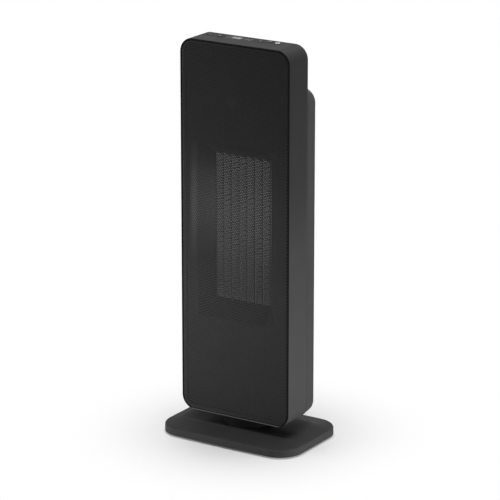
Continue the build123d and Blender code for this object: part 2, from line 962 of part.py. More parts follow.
def core_fins():
    """One corrugated strip per column, folded from bar to bar."""
    pitch = (core_width - core_bar_width) / core_columns
    rise = core_height / (2 * fin_waves)
    run = pitch - core_bar_width
    skew = fin_thickness * hypot(rise, run) / rise
    columns = []
    for place in range(core_columns):
        left = place * pitch - core_width / 2 + core_bar_width
        right = left + run - skew
        fold = []
        for step in range(2 * fin_waves):
            x = right if step % 2 else left
            z = core_low + (step + 1 / 2) * rise
            fold += [(x, z - fin_flat / 2), (x, z + fin_flat / 2)]
        other = [(x + skew, z) for x, z in reversed(fold)]
        face = Plane.XZ.offset(-core_front) * make_face(Polyline(*fold, *other, close=True))
        columns.append(extrude(face, amount=-core_depth))
    return group(columns)


def end_frames():
    """Moulded bars that hold the core at both ends, each with two ears."""
    half = core_width / 2 + end_frame_side
    frames = []
    for near, far, ear in ((core_low, frame_low, -ear_reach), (core_high, frame_high, ear_reach)):
        frame = block((-half, core_front, min(near, far)), (half, core_back, max(near, far)))
        for side in (-1, 1):
            left = side * ear_place - ear_width / 2
            low = min(far, far + ear)
            high = max(far, far + ear)
            frame += block((left, core_front, low - snug_gap),
                           (left + ear_width, core_front + ear_thickness, high))
        for x, z in core_post_places():
            frame -= bore((x, core_front + ear_thickness, z), backwards, ear_thickness + overrun,
                          screw_radius + screw_fit)
        for x, z in blower_tab_places():
            frame -= bore((x, core_back, z), backwards, screw_bite, screw_radius + screw_fit)
        frames.append(frame)
    return group(frames)


def terminal_places():
    return [place * terminal_spacing for place in (-1, 0, 1)]


def terminals():
    """Spade terminals under the lower end frame."""
    front = core_front + (core_depth - terminal_thickness) / 2
    low = frame_low - terminal_reach
    tabs = []
    for x in terminal_places():
        left = x - terminal_width / 2
        tabs.append(block((left, front, low), (left + terminal_width, front + terminal_thickness, frame_low)))
    return group(tabs)


def thermal_cutout():
    """Disc thermostat on the upper end frame, with its two tabs."""
    y = (core_front + core_back) / 2
    top = frame_high + cutout_height
    body = column(0, y, frame_high, top, cutout_radius)
    for side in (-1, 1):
        inner = side * (cutout_radius - overrun)
        outer = side * (cutout_radius + cutout_tab_reach)
        body += block((min(inner, outer), y - cutout_tab_width / 2, top - cutout_tab_thickness),
                      (max(inner, outer), y + cutout_tab_width / 2, top))
    return body


def heater_screws():
    length = ear_thickness + screw_bite - overrun
    seat = core_front + ear_thickness
    screws = [screw((x, seat, z), backwards, length) for x, z in core_post_places()]
    seat = core_back + blower_tab_thickness
    length = blower_tab_thickness + screw_bite - overrun
    screws += [screw((x, seat, z), backwards, length) for x, z in blower_tab_places()]
    return group(screws)


# Blower


def blower_tab_places():
    low = blower_under - blower_tab_height / 2
    high = blower_over + blower_tab_height / 2
    return [(side * ear_place, z) for side in (-1, 1) for z in (low, high)]


def scroll_line():
    """Scroll wall in plan: an arc round the wheel, then a tangent to the outlet corner."""
    cx = wheel_x + scroll_shift
    cy = wheel_y - scroll_shift
    radius = scroll_radius + scroll_wall / 2
    end_x = (core_width + scroll_wall) / 2
    reach = hypot(end_x - cx, core_back - cy)
    leave = degrees(atan2(core_back - cy, end_x - cx) + acos(radius / reach))
    arc = CenterArc((cx, cy), radius, scroll_start, leave - scroll_start)
    return [arc, Line(arc @ 1, (end_x, core_back))]


def blower_end_face():
    """End plate outline: the outlet side and the circle round the wheel."""
    half = core_width / 2 + end_frame_side
    face = Pos(0, core_back + blower_plate_front / 2) * Rectangle(2 * half, blower_plate_front)
    centre = Pos(wheel_x + scroll_shift, wheel_y - scroll_shift)
    return face + centre * Circle(scroll_radius + scroll_wall)


def motor_screw_places():
    """Two screws hold the motor flange under the lower end plate."""
    x = motor_radius + motor_flange_reach() / 2
    return [(wheel_x - x, wheel_y), (wheel_x + x, wheel_y)]


def motor_flange_reach():
    return 4 * small_head_radius


def blower_housing():
    ends = Pos(0, 0, blower_under) * extrude(blower_end_face(), amount=blower_plate_thickness)
    ends += Pos(0, 0, blower_high) * extrude(blower_end_face(), amount=blower_plate_thickness)
    path = scroll_line()
    for edge in path:
        side = trace(edge, line_width=scroll_wall)
        ends += Pos(0, 0, blower_under) * extrude(side, amount=blower_over - blower_under)
    for x, z in blower_tab_places():
        half = blower_tab_width / 2
        tall = blower_tab_height / 2
        ends += block((x - half, core_back, z - tall - snug_gap),
                      (x + half, core_back + blower_tab_thickness, z + tall + snug_gap))
    front_cut = block((-half_width, core_front, blower_under - overrun - blower_tab_height),
                      (half_width, core_back, blower_over + overrun + blower_tab_height))
    ends -= front_cut
    bearing_seat = bearing_radius + screw_fit
    ends -= column(wheel_x, wheel_y, blower_under - overrun, blower_over + overrun, bearing_seat)
    for x, y in motor_screw_places():
        ends -= bore((x, y, blower_under), down, blower_plate_thickness, small_screw_radius + screw_fit)
    for x, z in blower_tab_places():
        seat = (x, core_back + blower_tab_thickness, z)
        ends -= bore(seat, backwards, blower_tab_thickness + overrun, screw_radius + screw_fit)
    return ends


def blower_tongue():
    turn = radians(tongue_angle)
    reach = wheel_radius + tongue_gap + tongue_nose
    nose = (wheel_x + reach * cos(turn), wheel_y + reach * sin(turn))
    foot = (-(core_width + scroll_wall) / 2, core_back + scroll_wall)
    face = trace(Line(nose, foot), line_width=scroll_wall) + Pos(*nose) * Circle(tongue_nose)
    return Pos(0, 0, blower_low) * extrude(face, amount=blower_high - blower_low)


def blower_wheel():
    """Cross-flow wheel: curved blades between two discs."""
    lean = radians(blade_lean)
    root = wheel_radius - blade_depth
    blades = []
    for place in range(wheel_blades):
        turn = 360 * place / wheel_blades
        tip = wheel_radius - blade_thickness
        swing = blade_depth * tan(lean)
        inner = (root, 0)
        outer = (tip * cos(swing / tip), tip * sin(swing / tip))
        bow = blade_thickness / 2
        middle = ((inner[0] + outer[0]) / 2 + bow, (inner[1] + outer[1]) / 2 - bow)
        face = trace(ThreePointArc(inner, middle, outer), line_width=blade_thickness)
        blades.append(Rot(Z=turn) * face)
    low = wheel_low + wheel_disc_thickness
    high = wheel_high - wheel_disc_thickness
    wheel = column(0, 0, wheel_low, low, wheel_radius)
    wheel += column(0, 0, high, wheel_high, wheel_radius)
    ribs = [Pos(0, 0, low - snug_gap) * extrude(face, amount=high - low + 2 * snug_gap) for face in blades]
    wheel = wheel + ribs
    wheel += column(0, 0, wheel_low, wheel_low + wheel_hub_height, wheel_hub_radius)
    wheel += column(0, 0, wheel_high - wheel_hub_height, wheel_high, wheel_hub_radius)
    wheel -= column(0, 0, wheel_low - overrun, wheel_high + overrun, shaft_radius + shaft_fit)
    return Pos(wheel_x, wheel_y, 0) * wheel


def blower_shaft():
    low = motor_low - shaft_stub
    high = blower_over + bearing_length / 2 + overrun
    return column(wheel_x, wheel_y, low, high, shaft_radius)


def shaft_bearings():
    """Sleeve bearings at the motor ends and in the upper end plate."""
    middles = (motor_low + motor_wall / 2, motor_high - motor_wall / 2,
               blower_over - blower_plate_thickness / 2)
    half = bearing_length / 2
    fit = shaft_radius + shaft_fit
    return group([tube(wheel_x, wheel_y, z - half, z + half, bearing_radius, fit) for z in middles])


def motor_can():
    can = column(wheel_x, wheel_y, motor_low, motor_high, motor_radius)
    inside = motor_radius - motor_wall
    can -= column(wheel_x, wheel_y, motor_low + motor_wall, motor_high - motor_wall, inside)
    reach = motor_radius + motor_flange_reach()
    half = motor_flange_reach() / 2
    low = motor_high - motor_wall
    flange = block((wheel_x - reach, wheel_y - half, low), (wheel_x + reach, wheel_y + half, motor_high))
    can += flange
    can -= column(wheel_x, wheel_y, motor_low - overrun, motor_high + overrun, bearing_radius + screw_fit)
    for x, y in motor_screw_places():
        can -= bore((x, y, low), down, motor_wall + overrun, small_screw_radius + screw_fit)
    return can


def motor_stator():
    middle = (motor_low + motor_high) / 2
    half = stator_height / 2
    outer = motor_radius - motor_wall - seat_gap
    return tube(wheel_x, wheel_y, middle - half, middle + half, outer, stator_bore)


def motor_windings():
    middle = (motor_low + motor_high) / 2
    outer = motor_radius - motor_wall - overrun
    rings = []
    for side in (-1, 1):
        face = middle + side * stator_height / 2
        far = face + side * winding_height
        rings.append(tube(wheel_x, wheel_y, min(face, far), max(face, far), outer, outer - winding_wall))
    return group(rings)


def motor_rotor():
    middle = (motor_low + motor_high) / 2
    half = rotor_height / 2
    return tube(wheel_x, wheel_y, middle - half, middle + half, rotor_radius, shaft_radius + shaft_fit)


# Boards and wiring


def main_board():
    half = main_board_width / 2
    board = block((-half, main_board_front, main_board_low), (half, main_board_back, main_board_high))
    width, depth, height = connector_size
    board += block((-width / 2, main_board_back - snug_gap, main_board_high - height),
                   (width / 2, main_board_back + depth, main_board_high))
    for x, z in main_board_posts():
        seat = (x, main_board_back, z)
        board -= bore(seat, backwards, board_thickness + overrun, small_screw_radius + screw_fit)
    return board


def relays():
    width, height, depth = relay_size
    low = main_board_low + relay_above_edge
    cubes = []
    for place in (-1, 0, 1):
        left = place * relay_spacing - width / 2
        cubes.append(block((left, main_board_back, low),
                           (left + width, main_board_back + depth, low + height)))
    return group(cubes)


def board_screws():
    length = board_thickness + small_screw_bite - overrun
    screws = [small_screw((x, main_board_back, z), backwards, length) for x, z in main_board_posts()]
    seat = duct_back + receiver_stand + board_thickness
    short = board_thickness + receiver_stand - overrun
    screws += [small_screw((x, seat, z), backwards, short) for x, z in receiver_posts()]
    screws += [small_screw((x, y, display_board_low), down, length) for x, y in display_post_places()]
    seat = motor_high - motor_wall
    flange = motor_wall + blower_plate_thickness - screw_fit
    screws += [small_screw((x, y, seat), down, flange) for x, y in motor_screw_places()]
    return group(screws)


def heater_leads():
    """Three leads from the board connector up to the core's spade terminals."""
    start_y = main_board_back + connector_size[1] / 2
    end_y = core_front + (core_depth - terminal_thickness) / 2 - lead_radius - snug_gap
    end_z = frame_low - snug_gap
    turn_z = (main_board_high + frame_low - terminal_reach) / 2
    leads = []
    for x in terminal_places():
        path = FilletPolyline((x, start_y, main_board_high), (x, start_y, turn_z),
                              (x, end_y, turn_z + lead_bend), (x, end_y, end_z), radius=lead_bend)
        section = Plane(origin=path @ 0, z_dir=path % 0) * Circle(lead_radius)
        leads.append(sweep(section, path=path))
    return group(leads)


# Control strip


def button_places():
    depth = panel_front + panel_back
    return {name: (along * panel_length - panel_left, across * depth - panel_front)
            for name, (along, across) in button_places_share.items()}


def lens_outline(inset):
    width = lens_left - lens_right - 2 * inset
    depth = lens_front + lens_back - 2 * inset
    middle = Pos(-(lens_left + lens_right) / 2, (lens_back - lens_front) / 2)
    return middle * RectangleRounded(width, depth, lens_corner)


def control_panel():
    panel = Pos(0, 0, panel_low) * extrude(panel_outline(0), amount=panel_thickness)
    lens_low = tower_high - lens_thickness
    panel -= Pos(0, 0, lens_low) * extrude(lens_outline(-snug_gap), amount=panel_thickness)
    through = panel_thickness + overrun
    panel -= Pos(0, 0, panel_low - overrun) * extrude(lens_outline(lens_lip), amount=through)
    for x, y in button_places().values():
        panel -= column(x, y, panel_low - overrun, tower_high + overrun, button_radius + button_gap)
    return panel


def display_lens():
    return Pos(0, 0, tower_high - lens_thickness) * extrude(lens_outline(0), amount=lens_thickness)


def push_button(place):
    x, y = place
    top = tower_high + button_proud
    cap = column(x, y, button_flange_top - snug_gap, top, button_radius)
    cap = fillet(cap.faces().sort_by(Axis.Z)[-1].edges(), button_round)
    cap += column(x, y, button_flange_low, button_flange_top, button_radius + button_flange)
    cap += column(x, y, button_low, button_flange_low + snug_gap, button_stem_radius)
    return cap


def display_board():
    left = -panel_left - display_board_margin
    right = panel_right + display_board_margin
    board = block((left, -panel_front, display_board_low), (right, panel_back, display_board_top))
    for x, y in display_post_places():
        seat = (x, y, display_board_top)
        board -= bore(seat, up, board_thickness + overrun, small_screw_radius + screw_fit)
    return board


def push_switches():
    half = tact_size / 2
    bodies = []
    for x, y in button_places().values():
        bodies.append(block((x - half, y - half, display_board_top), (x + half, y + half, tact_top)))
    return group(bodies)


def display_module():
    inset = lens_lip + panel_gap
    top = panel_low - display_module_gap
    return Pos(0, 0, display_board_top) * extrude(lens_outline(inset), amount=top - display_board_top)


# Rear cover and what it carries


def bulge_sections(inset):
    """Bulge outlines at the plate and at the back, inset by the wall for the hollow."""
    half = half_width - inset
    low = tower_low + inset
    high = bulge_high - inset
    corner = corner_radius - inset
    near = (-half, half, low, high, corner)
    side = half - bulge_side_taper
    far = (-side, side, low, high - bulge_top_taper, corner)
    return near, far


def bulge(inset, back):
    near, far = bulge_sections(inset)
    half, low, high, corner = near[1], near[2], near[3], near[4]
    body = slab(half, low, high, corner, seam_y, rear_plate_back)
    return body + frustum_xz(near, far, rear_plate_back, back)


def rear_cover():
    plate = slab(half_width, tower_low, tower_high, corner_radius, seam_y, rear_plate_back)
    plate = fillet(plate.faces().sort_by(Axis.Y)[-1].edges(), rear_plate_round)
    outer = bulge(0, rear_back)
    outer = fillet(outer.faces().sort_by(Axis.Y)[-1].edges(), bulge_round)
    cover = plate + outer
    pan_half = filter_width / 2 + snug_gap + wall
    pan = block((-pan_half, pan_front, filter_low - snug_gap - wall),
                (pan_half, rear_back, filter_high + snug_gap + wall))
    hollow = bulge(wall, rear_inside)
    hollow += slab(inner_half, shell_floor, bulge_high - wall, corner_radius - wall, seam_y - overrun, seam_y)
    cover -= hollow - pan
    gap = snug_gap
    cover -= slab(filter_width / 2 + gap, filter_low - gap, filter_high + gap, filter_corner, pocket_floor,
                  rear_back + overrun)
    cover -= intake_slots()
    for x, z in shell_screw_places()[0:2] + shell_screw_places()[3:5]:
        cover += pin_y(x, z, seam_y, rear_inside + snug_gap, shell_boss_radius)
    for x, z in shell_screw_places():
        head_seat = seam_y + rear_plate_thickness / 2
        cover -= bore((x, rear_back, z), backwards, rear_back - head_seat, screw_head_radius + panel_gap)
        cover -= bore((x, rear_back, z), backwards, rear_back - seam_y + overrun, screw_radius + screw_fit)
    cover = cut_floor(cover)
    half = rocker_body_width / 2 + snug_gap
    tall = rocker_body_height / 2 + snug_gap
    cover -= block((-rocker_place - half, rear_inside - overrun, rocker_z - tall),
                   (-rocker_place + half, rear_back + overrun, rocker_z + tall))
    cover -= pin_y(gland_place, gland_z, rear_inside - overrun, rear_back + overrun, gland_radius + snug_gap)
    return cover


def intake_slots():
    """Rows of slots through the pan behind the filter, split by a middle post."""
    usable = filter_height - 2 * slot_side_margin
    rows = int(usable / slot_pitch)
    middle = (filter_low + filter_high) / 2
    length = filter_width / 2 - slot_side_margin - slot_post / 2
    slots = []
    for row in range(rows):
        z = middle + (row - (rows - 1) / 2) * slot_pitch
        for side in (-1, 1):
            x = side * (slot_post + length) / 2
            slots.append(Pos(x, z) * SlotOverall(length, slot_height))
    faces = [Plane.XZ.offset(-pan_front + overrun) * slot for slot in slots]
    return [extrude(face, amount=-(wall + 2 * overrun)) for face in faces]


def shell_screws():
    seat = seam_y + rear_plate_thickness / 2
    length = seat - seam_y + shell_screw_length - overrun
    return group([screw((x, seat, z), backwards, length) for x, z in shell_screw_places()])


def filter_frame():
    back = pocket_floor + filter_thickness + snug_gap
    front = pocket_floor + snug_gap
    half = filter_width / 2 - snug_gap
    low = filter_low + snug_gap
    high = filter_high - snug_gap
    frame = slab(half, low, high, filter_corner - snug_gap, front, back)
    rail = filter_rail
    opening = slab(half - rail, low + rail, high - rail, filter_corner / 2, front - overrun, back + overrun)
    bars = block((-filter_rib / 2, front, low), (filter_rib / 2, back, high))
    for share in (1 / 4, 1 / 2, 3 / 4):
        z = low + (high - low) * share
        bars += block((-half, front, z - filter_rib / 2), (half, back, z + filter_rib / 2))
    frame -= opening - bars
    seat = slab(half - rail / 2, low + rail / 2, high - rail / 2, filter_corner / 2, front - overrun,
                front + filter_mesh_thickness + snug_gap)
    return frame - seat


def filter_mesh():
    front = pocket_floor + snug_gap
    half = filter_width / 2 - 2 * snug_gap - filter_rail / 2
    low = filter_low + 2 * snug_gap + filter_rail / 2
    high = filter_high - 2 * snug_gap - filter_rail / 2
    return slab(half, low, high, filter_corner / 2, front, front + filter_mesh_thickness)


def rocker_pivot_y():
    return rear_back - rocker_pivot_depth


def rocker_housing():
    flange = block((-rocker_place - rocker_flange_width / 2, rear_back, rocker_z - rocker_flange_height / 2),
                   (-rocker_place + rocker_flange_width / 2, rear_back + rocker_flange_thickness,
                    rocker_z + rocker_flange_height / 2))
    body = block((-rocker_place - rocker_body_width / 2, rear_back - rocker_body_depth,
                  rocker_z - rocker_body_height / 2),
                 (-rocker_place + rocker_body_width / 2, rear_back + snug_gap,
                  rocker_z + rocker_body_height / 2))
    half = rocker_body_width / 2 - rocker_wall
    tall = rocker_body_height / 2 - rocker_wall
    floor_y = rear_back - rocker_body_depth + rocker_pivot_depth * 2
    cavity = block((-rocker_place - half, floor_y, rocker_z - tall),
                   (-rocker_place + half, rear_back + rocker_flange_thickness + overrun, rocker_z + tall))
    housing = flange + body - cavity
    pin = Cylinder(rocker_pin + rocker_pin_fit, rocker_body_width + overrun)
    housing -= Pos(-rocker_place, rocker_pivot_y(), rocker_z) * Rot(Y=90) * pin
    return housing


def main_rocker():
    """Rocker with one end pressed in, turning on two short pins along X."""
    half = rocker_body_width / 2 - rocker_wall - rocker_gap
    outline = Polyline((-rocker_half_length, 0), (-rocker_half_length, rocker_end_height),
                       (0, rocker_crown - overrun), (rocker_half_length, rocker_end_height),
                       (rocker_half_length, 0), close=True)
    face = make_face(outline) + Circle(rocker_hub)
    body = extrude(face, amount=half, both=True)
    body += Cylinder(rocker_pin, rocker_body_width - rocker_gap)
    turned = Rot(Z=rocker_tilt) * body
    frame = Plane(origin=(-rocker_place, rocker_pivot_y(), rocker_z), x_dir=(0, 0, -1), z_dir=(1, 0, 0))
    return frame.location * turned


def cord_gland():
    gland = pin_y(gland_place, gland_z, rear_back - gland_length, rear_back + snug_gap, gland_radius)
    gland += pin_y(gland_place, gland_z, rear_back, rear_back + gland_flange_thickness, gland_flange)
    gland -= pin_y(gland_place, gland_z, rear_back - gland_length - overrun,
                   rear_back + gland_flange_thickness + overrun, gland_bore)
    return gland


def terminal_block():
    back = rear_inside - block_away
    left = gland_place - block_width / 2
    return block((left, back - block_depth, floor_plate_top),
                 (left + block_width, back, floor_plate_top + block_height))


nodes = {
    "base_cover": base_cover, "base_plate": base_plate, "ballast_plate": ballast_plate,
    "rubber_feet": rubber_feet, "base_screws": base_screws, "slide_ring": slide_ring,
    "swing_ring_gear": swing_ring_gear, "swing_pinion": swing_pinion,
    "swing_motor": swing_motor, "swivel_neck": swivel_neck, "retaining_ring": retaining_ring,
    "retaining_screws": retaining_screws, "floor_plate": floor_plate, "floor_screws": floor_screws,
    "tip_plunger": tip_plunger, "tip_switch": tip_switch, "front_shell": front_shell,
    "front_grille": front_grille, "grille_frame": grille_frame, "outlet_duct": outlet_duct,
    "duct_screws": duct_screws, "receiver_lens": receiver_lens, "receiver_board": receiver_board,
    "core_bars": core_bars, "core_fins": core_fins, "core_end_frames": end_frames,
    "core_terminals": terminals, "thermal_cutout": thermal_cutout, "heater_screws": heater_screws,
    "blower_housing": blower_housing, "blower_tongue": blower_tongue, "blower_wheel": blower_wheel,
    "blower_shaft": blower_shaft, "shaft_bearings": shaft_bearings, "motor_can": motor_can,
    "motor_stator": motor_stator, "motor_windings": motor_windings, "motor_rotor": motor_rotor,
    "main_board": main_board, "relays": relays, "board_screws": board_screws,
    "heater_leads": heater_leads, "control_panel": control_panel, "display_lens": display_lens,
    "display_board": display_board, "push_switches": push_switches, "display_module": display_module,
    "rear_cover": rear_cover, "shell_screws": shell_screws, "filter_frame": filter_frame,
    "filter_mesh": filter_mesh, "rocker_housing": rocker_housing, "main_rocker": main_rocker,
    "cord_gland": cord_gland, "terminal_block": terminal_block,
}

os.makedirs("parts", exist_ok=True)
for name, make in nodes.items():
    export_step(make(), f"parts/{name}.step")
for name, place in button_places().items():
    export_step(push_button(place), f"parts/{name}.step")
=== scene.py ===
import json
from math import atan2, cos, hypot, pi, radians, sin, sqrt

import bmesh
import bpy
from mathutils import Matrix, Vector


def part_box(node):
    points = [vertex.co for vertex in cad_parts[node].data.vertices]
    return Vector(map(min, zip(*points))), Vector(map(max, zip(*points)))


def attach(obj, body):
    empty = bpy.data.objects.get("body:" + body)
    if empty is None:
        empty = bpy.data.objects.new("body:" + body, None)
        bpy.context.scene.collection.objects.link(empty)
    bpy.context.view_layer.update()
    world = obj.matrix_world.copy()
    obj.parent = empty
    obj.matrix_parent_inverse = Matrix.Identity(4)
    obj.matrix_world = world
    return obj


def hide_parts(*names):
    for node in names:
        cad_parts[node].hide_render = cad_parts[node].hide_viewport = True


# Looks of the tower fan heater, in metres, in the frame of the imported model:
# +Z up, -Y to the front, origin on the floor under the swivel axis.

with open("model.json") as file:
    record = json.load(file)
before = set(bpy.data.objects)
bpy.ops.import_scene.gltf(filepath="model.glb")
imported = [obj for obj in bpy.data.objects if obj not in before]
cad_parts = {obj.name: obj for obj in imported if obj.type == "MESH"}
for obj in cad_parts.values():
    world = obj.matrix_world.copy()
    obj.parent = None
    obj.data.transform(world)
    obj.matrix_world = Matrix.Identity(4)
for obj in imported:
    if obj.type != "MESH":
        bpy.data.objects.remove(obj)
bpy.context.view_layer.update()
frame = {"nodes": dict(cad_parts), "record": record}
nodes = frame["nodes"]

MM = 0.001

# Camera, with its angles in degrees
CAMERA_PLACE = (2.2902, -3.5945, 1.5787)
CAMERA_PITCH = 16.779
CAMERA_YAW = 32.485
CAMERA_LENS = 211.85

# Lamps: name, place, target, sides, watts and how wide they fan out, in degrees
LAMPS = (
    ("overhead", (0, 0, 2.4), (0, 0, 0.2), (1.6, 1.6), 58, 180),
    ("front", (-0.45, -0.5, 0.05), (0, 0, 0.25), (0.4, 0.06), 2.2, 180),
    ("right", (0.55, 0, 0.02), (0.1, 0, 0.2), (0.3, 0.04), 1.9, 180),
    ("back", (-0.5, 1.0, 0.42), (0, 0, 0.5), (0.4, 0.2), 0.9, 50),
)
WORLD_LEVEL = 0.05

# Floor, and where its shadow starts to fade to white and ends
FLOOR_HALF = 12.0
FLOOR_GREY = 0.9
FLOOR_ROUGHNESS = 0.9
SHADOW_NEAR = 0.03
SHADOW_FAR = 0.3

# Perforated sheet in front
HOLE_SIDES = 6
HOLE_PITCH = 3.0 * MM
HOLE_RADIUS = 1.28 * MM
WELD_GAP = HOLE_PITCH / 100
SHEET_FRONT = 0.1 * MM
SHEET_THICKNESS = 0.7 * MM
SHEET_MARGIN = 0.9 * MM
SHEET_BANDS = 4
SHEET_CORNER = 18.6 * MM
RIM_WIDTH = 1.9 * MM
RIM_ROUND = 0.3 * MM
CORNER_STEPS = 16

# Outlet window and funnel, as in the duct
WINDOW_HALF = 71.0 * MM
WINDOW_LOW = 190.0 * MM
WINDOW_HIGH = 463.5 * MM
WINDOW_CORNER = 6.0 * MM
WINDOW_DEPTH = -36.4 * MM
CORE_HALF = 49.35 * MM
CORE_LOW = 214.0 * MM
CORE_HIGH = 445.0 * MM
CORE_CORNER = 3.0 * MM
CORE_DEPTH = -16.1 * MM
LINER_GAP = 0.05 * MM
LINER_THICKNESS = 0.3 * MM
# Rounded strip at the window's left edge, whose bright grey is a painted highlight
HIGHLIGHT_STRIP_WIDTH = 14.0 * MM
HIGHLIGHT_STRIP_OVERHANG = 2.5 * MM
HIGHLIGHT_STRIP_RISE = 2.4 * MM
HIGHLIGHT_STRIP_COLUMNS = 10
HIGHLIGHT_STRIP_ROWS = 40

# Folded strips of the heating core
FIN_COLUMNS = 7
FIN_PITCH = 4.0 * MM
FIN_CREST = 0.6 * MM
FIN_SHEET = 0.9 * MM
BAR_WIDTH = 2.0 * MM

# Filter net at the back, with the share of a thread that stands clear of the other
NET_PITCH = 1.3 * MM
NET_THREAD = 0.34 * MM
NET_CLEAR = 0.6

# Screw heads at the back. The rings run outwards, each with its share of the
# recess (the first ones) or of the radius, and its height as a share of the rise.
SCREW_RADIUS = 2.6 * MM
SCREW_RISE = 1.6 * MM
SCREW_MIDDLE = 300.0 * MM
RECESS_LENGTH = 0.55
RECESS_WIDTH = 0.14
RECESS_RINGS = 2
HEAD_RINGS = ((0.35, -0.6), (1.0, 0.0), (0.75, 0.0), (0.96, -0.25), (1.0, -0.55), (1.0, -1.0))

# Marks on the buttons and the rocker
BRIGHT_MARK = "temperature_button"
BOLD_SHARE = 3.6
MARK_RISE = 0.04 * MM
MARK_WIDTH = 0.55 * MM
ARC_STEP = 12
ROCKER_PIVOT_DEPTH = 3.8 * MM
ROCKER_TILT = 10.0
ROCKER_CROWN = 5.4 * MM
ROCKER_END = 4.4 * MM
ROCKER_HALF = 7.2 * MM

# Display, with the lit segments and the place of each digit, and the level marks beside it
FIELD_LENGTH = 15.0 * MM
FIELD_SIDE = 2.0 * MM
FIELD_END = 3.0 * MM
DIGITS = (("abged", 2.6 * MM), ("fgbc", 7.4 * MM))
DIGIT_HEIGHT = 5.6 * MM
DIGIT_WIDTH = 3.0 * MM
DEGREE_PLACE = 12.4 * MM
DEGREE_DROP = 1.0 * MM
DEGREE_RADIUS = 0.7 * MM
SEGMENT_WIDTH = 0.7 * MM
FINE_WIDTH = 0.42 * MM
LEVEL_MARKS = 3
LEVEL_PITCH = 5.5 * MM
LEVEL_LEAN = 1.2 * MM
LEVEL_HALF = 2.0 * MM
LEVEL_GROWTH = 1.3 * MM
LEVEL_WIDTH = 0.9 * MM

# Where painted light and shade change the colours along the object; a share is the colour's
# at the end of its fade
PAINTED_LIGHT_LEVEL = 372.0 * MM
PAINTED_LIGHT_TOP = 462.0 * MM
PAINTED_LIGHT_FOOT = 272.0 * MM
CORE_FOOT = 232.0 * MM
LINER_FADE = 4.0 * MM
STRIP_HIGHLIGHT_FADE = HIGHLIGHT_STRIP_WIDTH / 6
FIN_DARK_START = -15.2 * MM
FIN_DARK_END = -13.0 * MM
SHEET_HALF = 92.0 * MM
SHEET_RIGHT_SHARE = 0.85
RIM_RIGHT_SHARE = 0.45
SHEET_FADE_LOW = 350.0 * MM
SHEET_FADE_HIGH = 500.0 * MM
SHEET_FOOT_HIGH = 230.0 * MM
SHEET_FOOT_LOW = 50.0 * MM
SHEET_FOOT_SHARE = 0.76
BAND_FADE_LOW = 295.0 * MM
BAND_FADE_HIGH = 420.0 * MM
BAND_TOP_SHARE = 0.75
REAR_FADE_LOW = 250.0 * MM
REAR_FADE_HIGH = 520.0 * MM
REAR_TOP_SHARE = 1.3
LIP_DEPTH = -40.9 * MM
LIP_FADE = 1.2 * MM
SOLE_LEVEL = 37.0 * MM
SOLE_FADE = 1.5 * MM
SOLE_FRONT = -37.0 * MM
SOLE_BACK = -31.0 * MM
TOP_LEVEL = 620.0 * MM
TOP_FADE = 2.5 * MM
BASE_SIDE_HIGH = 15.0 * MM
BASE_SIDE_LOW = 12.0 * MM

# Patches, grain and edges lighter from wear and a painted highlight. A span is the part of a
# value's range that a finish uses.
PATCH_SIZE = 30.0 * MM
PATCH_DETAIL = 3
GRAIN_DETAIL = 2
FINE_GRAIN = 0.45 * MM
GRAIN_DEPTH = 0.03 * MM
EDGE_RADIUS = 0.7 * MM
EDGE_SAMPLES = 4
EDGE_SPAN = (0.99, 0.85)
COLOUR_SPAN = (0.32, 0.68)
ROUGH_SPAN = (0.3, 0.7)


# Materials


def add_node(tree, kind, **settings):
    node = tree.nodes.new(kind)
    for key, value in settings.items():
        setattr(node, key, value)
    return node


def map_range(tree, value, start, end, low=0.0, high=1.0, **settings):
    """Value carried from the range start to end over to low to high."""
    node = add_node(tree, "ShaderNodeMapRange", **settings)
    numbers = {"From Min": start, "From Max": end, "To Min": low, "To Max": high}
    for key, number in numbers.items():
        node.inputs[key].default_value = number
    tree.links.new(value, node.inputs["Value"])
    return node.outputs["Result"]


def noise(tree, size, detail, stretch):
    """Noise with patches about this size, fixed to the piece."""
    coords = add_node(tree, "ShaderNodeTexCoord")
    mapping = add_node(tree, "ShaderNodeMapping")
    mapping.inputs["Scale"].default_value = stretch
    texture = add_node(tree, "ShaderNodeTexNoise")
    texture.inputs["Scale"].default_value = 1 / size
    texture.inputs["Detail"].default_value = detail
    tree.links.new(coords.outputs["Object"], mapping.inputs["Vector"])
    tree.links.new(mapping.outputs["Vector"], texture.inputs["Vector"])
    return texture.outputs["Fac"]


def halfway(tree, first, second):
    """Even mix of two values."""
    node = add_node(tree, "ShaderNodeMix", data_type="FLOAT")
    node.inputs["Factor"].default_value = 0.5
    tree.links.new(first, node.inputs["A"])
    tree.links.new(second, node.inputs["B"])
    return node.outputs["Result"]


def cover(tree, under, over, share):
    """Colour with a second, even one laid over it by a share that varies."""
    node = add_node(tree, "ShaderNodeMix", data_type="RGBA")
    node.inputs["B"].default_value = (*over, 1)
    tree.links.new(share, node.inputs["Factor"])
    tree.links.new(under, node.inputs["A"])
    return node.outputs["Result"]


def ramp(tree, value, low, high):
    """Colour from low to high over the middle of a noise's values."""
    node = add_node(tree, "ShaderNodeValToRGB")
    first, last = node.color_ramp.elements
    first.position, last.position = COLOUR_SPAN
    first.color = (*low, 1)
    last.color = (*high, 1)
    tree.links.new(value, node.inputs["Fac"])
    return node.outputs["Color"]


def edge_mask(tree):
    """One along convex and concave edges, nought on flats."""
    bevel = add_node(tree, "ShaderNodeBevel", samples=EDGE_SAMPLES)
    bevel.inputs["Radius"].default_value = EDGE_RADIUS
    geometry = add_node(tree, "ShaderNodeNewGeometry")
    dot = add_node(tree, "ShaderNodeVectorMath", operation="DOT_PRODUCT")
    tree.links.new(bevel.outputs["Normal"], dot.inputs[0])
    tree.links.new(geometry.outputs["Normal"], dot.inputs[1])
    return map_range(tree, dot.outputs["Value"], *EDGE_SPAN)


